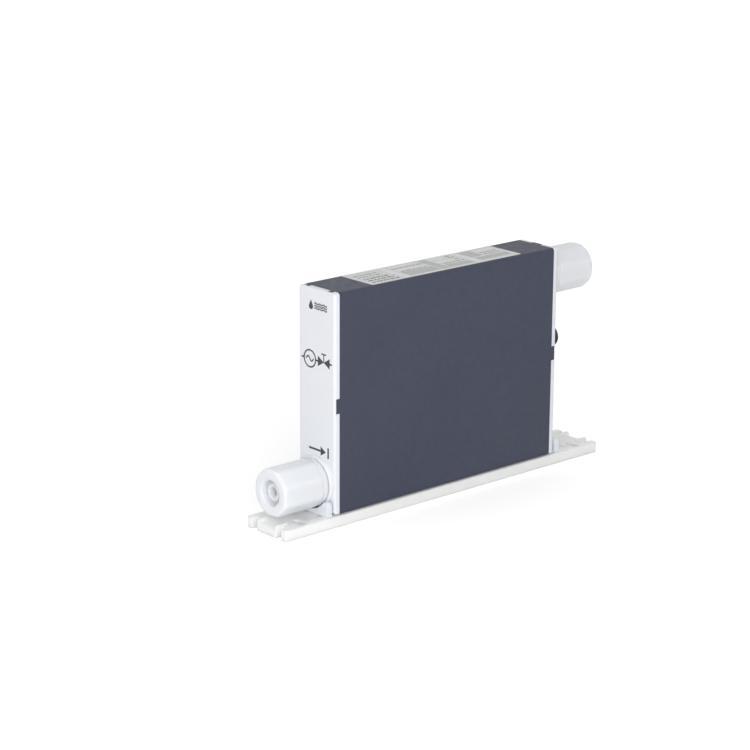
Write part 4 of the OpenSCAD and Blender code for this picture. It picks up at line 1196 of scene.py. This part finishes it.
# %% [markdown]
# ## Rating label
# The label is a silver film with a light border. Its print is light bars, grey fields and rows of
# short strokes, all plain rectangles. Their places are shares of the film's length and width, and
# the strokes' lengths follow a sine, so the rows look uneven but say nothing.

# %% Label layout
LABEL_BORDER = 1.2 * MM
STROKE_H = 1.15 * MM
STROKE_MEAN = 2.3 * MM
STROKE_SWING = 1.3 * MM
STROKE_GAP = 0.9 * MM
ROW_SHIFT = 2.1
STEP_SHIFT = 1.7

label_x0, label_x1 = label_low.x + LABEL_BORDER, label_high.x - LABEL_BORDER
label_y0, label_y1 = label_low.y + LABEL_BORDER, label_high.y - LABEL_BORDER
print("label inside its border", round(label_x1 - label_x0, 4), "by", round(label_y1 - label_y0, 4))

# A cell is its first and last share of the length, then of the width from the reader's side. A row
# is its first and last share of the length and its share of the width.
light_cell_shares = ((0.215, 0.25, 0.0, 1.0), (0.27, 0.44, 0.84, 0.95), (0.27, 0.47, 0.55, 0.66),
                     (0.54, 0.64, 0.82, 0.95), (0.54, 0.66, 0.52, 0.65), (0.72, 0.75, 0.0, 1.0),
                     (0.86, 0.98, 0.76, 0.9))
field_cell_shares = ((0.265, 0.47, 0.06, 0.4), (0.485, 0.53, 0.03, 0.97), (0.54, 0.7, 0.06, 0.3),
                     (0.765, 0.98, 0.12, 0.36), (0.765, 0.84, 0.45, 0.95))
dark_row_shares = ((0.02, 0.195, 0.1), (0.02, 0.195, 0.26), (0.02, 0.195, 0.42))
grey_row_shares = ((0.02, 0.17, 0.62), (0.02, 0.17, 0.78), (0.27, 0.47, 0.75), (0.28, 0.45, 0.47),
                   (0.66, 0.71, 0.9), (0.66, 0.71, 0.76), (0.67, 0.71, 0.58), (0.56, 0.7, 0.41),
                   (0.86, 0.97, 0.65), (0.86, 0.97, 0.5))


# %% Label helpers


def along(share):
    """X at a share of the label's length."""
    return label_x0 + share * (label_x1 - label_x0)


def across(share):
    """Y at a share of the label's width."""
    return label_y0 + share * (label_y1 - label_y0)


def cells(ink, shares):
    """Plain rectangles at their shares of the label."""
    for left, right, low, high in shares:
        ink.bar(along(left), across(low), along(right), across(high))


def strokes(ink, shares):
    """Rows of short strokes of uneven length."""
    for row, (left, right, at) in enumerate(shares):
        a = along(left)
        b = across(at)
        step = 0
        while a < along(right) - STROKE_H:
            length = STROKE_MEAN + STROKE_SWING * math.sin(row * ROW_SHIFT + step * STEP_SHIFT)
            ink.bar(a, b - STROKE_H / 2, min(a + length, along(right)), b + STROKE_H / 2)
            a += length + STROKE_GAP
            step += 1


# %% Label border and light bars
light_ink = Ink(on_label)
light_ink.bar(label_low.x + INK_T, label_low.y + INK_T, label_high.x - INK_T, label_y0)
light_ink.bar(label_low.x + INK_T, label_y1, label_high.x - INK_T, label_high.y - INK_T)
light_ink.bar(label_low.x + INK_T, label_y0, label_x0, label_y1)
light_ink.bar(label_x1, label_y0, label_high.x - INK_T, label_y1)
cells(light_ink, light_cell_shares)
light_ink.piece("label_light_bars", INK_LIGHT, "label_film")

# %% Label fields and strokes
field_ink = Ink(on_label)
cells(field_ink, field_cell_shares)
field_ink.piece("label_fields", INK_FIELD, "label_film")

dark_ink = Ink(on_label)
strokes(dark_ink, dark_row_shares)
dark_ink.piece("label_dark_strokes", INK_DARK, "label_film")

grey_ink = Ink(on_label)
strokes(grey_ink, grey_row_shares)
grey_ink.piece("label_grey_strokes", INK_GREY, "label_film")

# %% [markdown]
# ## Floor
# The floor of the picture is pure white, yet keeps the object's soft contact shadow. A plane that
# only catches shadows could do that, but it would take away the light that a white floor throws
# up under the nuts. So this is a real white plane with a little emission that is added only for
# rays that see it directly. The glow grows with the distance from the object, where less lamp
# light falls.

# %% Floor
FLOOR_SIZE = 6.0
FLOOR_WHITE = (0.9, 0.9, 0.9, 1)
FLOOR_ROUGH = 0.9
FLOOR_SPECULAR = 0.1
GLOW_NEAR = 0.42
GLOW_FAR = 0.62
GLOW_FROM = 0.12
GLOW_TO = 1.1

floor_mesh = bpy.data.meshes.new("floor")
half_floor = FLOOR_SIZE / 2
floor_mesh.from_pydata([(-half_floor, -half_floor, 0), (half_floor, -half_floor, 0),
                        (half_floor, half_floor, 0), (-half_floor, half_floor, 0)], [], [(0, 1, 2, 3)])
floor = bpy.data.objects.new("floor", floor_mesh)
floor.location.z = cad_bounds[0][2] - INK_T
bpy.context.scene.collection.objects.link(floor)

floor_material = bpy.data.materials.new("floor_white")
floor_material.use_nodes = True
floor_nodes = floor_material.node_tree.nodes
floor_links = floor_material.node_tree.links
floor_shader = floor_nodes["Principled BSDF"]
floor_shader.inputs["Base Color"].default_value = FLOOR_WHITE
floor_shader.inputs["Roughness"].default_value = FLOOR_ROUGH
floor_shader.inputs["Specular IOR Level"].default_value = FLOOR_SPECULAR
floor_shader.inputs["Emission Color"].default_value = (1, 1, 1, 1)
away = floor_nodes.new("ShaderNodeVectorMath")
away.operation = "LENGTH"
floor_links.new(floor_nodes.new("ShaderNodeTexCoord").outputs["Object"], away.inputs[0])
glow = floor_nodes.new("ShaderNodeMapRange")
glow.inputs["From Min"].default_value = GLOW_FROM
glow.inputs["From Max"].default_value = GLOW_TO
glow.inputs["To Min"].default_value = GLOW_NEAR
glow.inputs["To Max"].default_value = GLOW_FAR
floor_links.new(away.outputs["Value"], glow.inputs["Value"])
floor_level = floor_nodes.new("ShaderNodeMath")
floor_level.operation = "MULTIPLY"
floor_links.new(seen_directly(floor_nodes, floor_links), floor_level.inputs[0])
floor_links.new(glow.outputs[0], floor_level.inputs[1])
floor_links.new(floor_level.outputs[0], floor_shader.inputs["Emission Strength"])
floor_mesh.materials.append(floor_material)
print("floor", FLOOR_SIZE, "m wide")
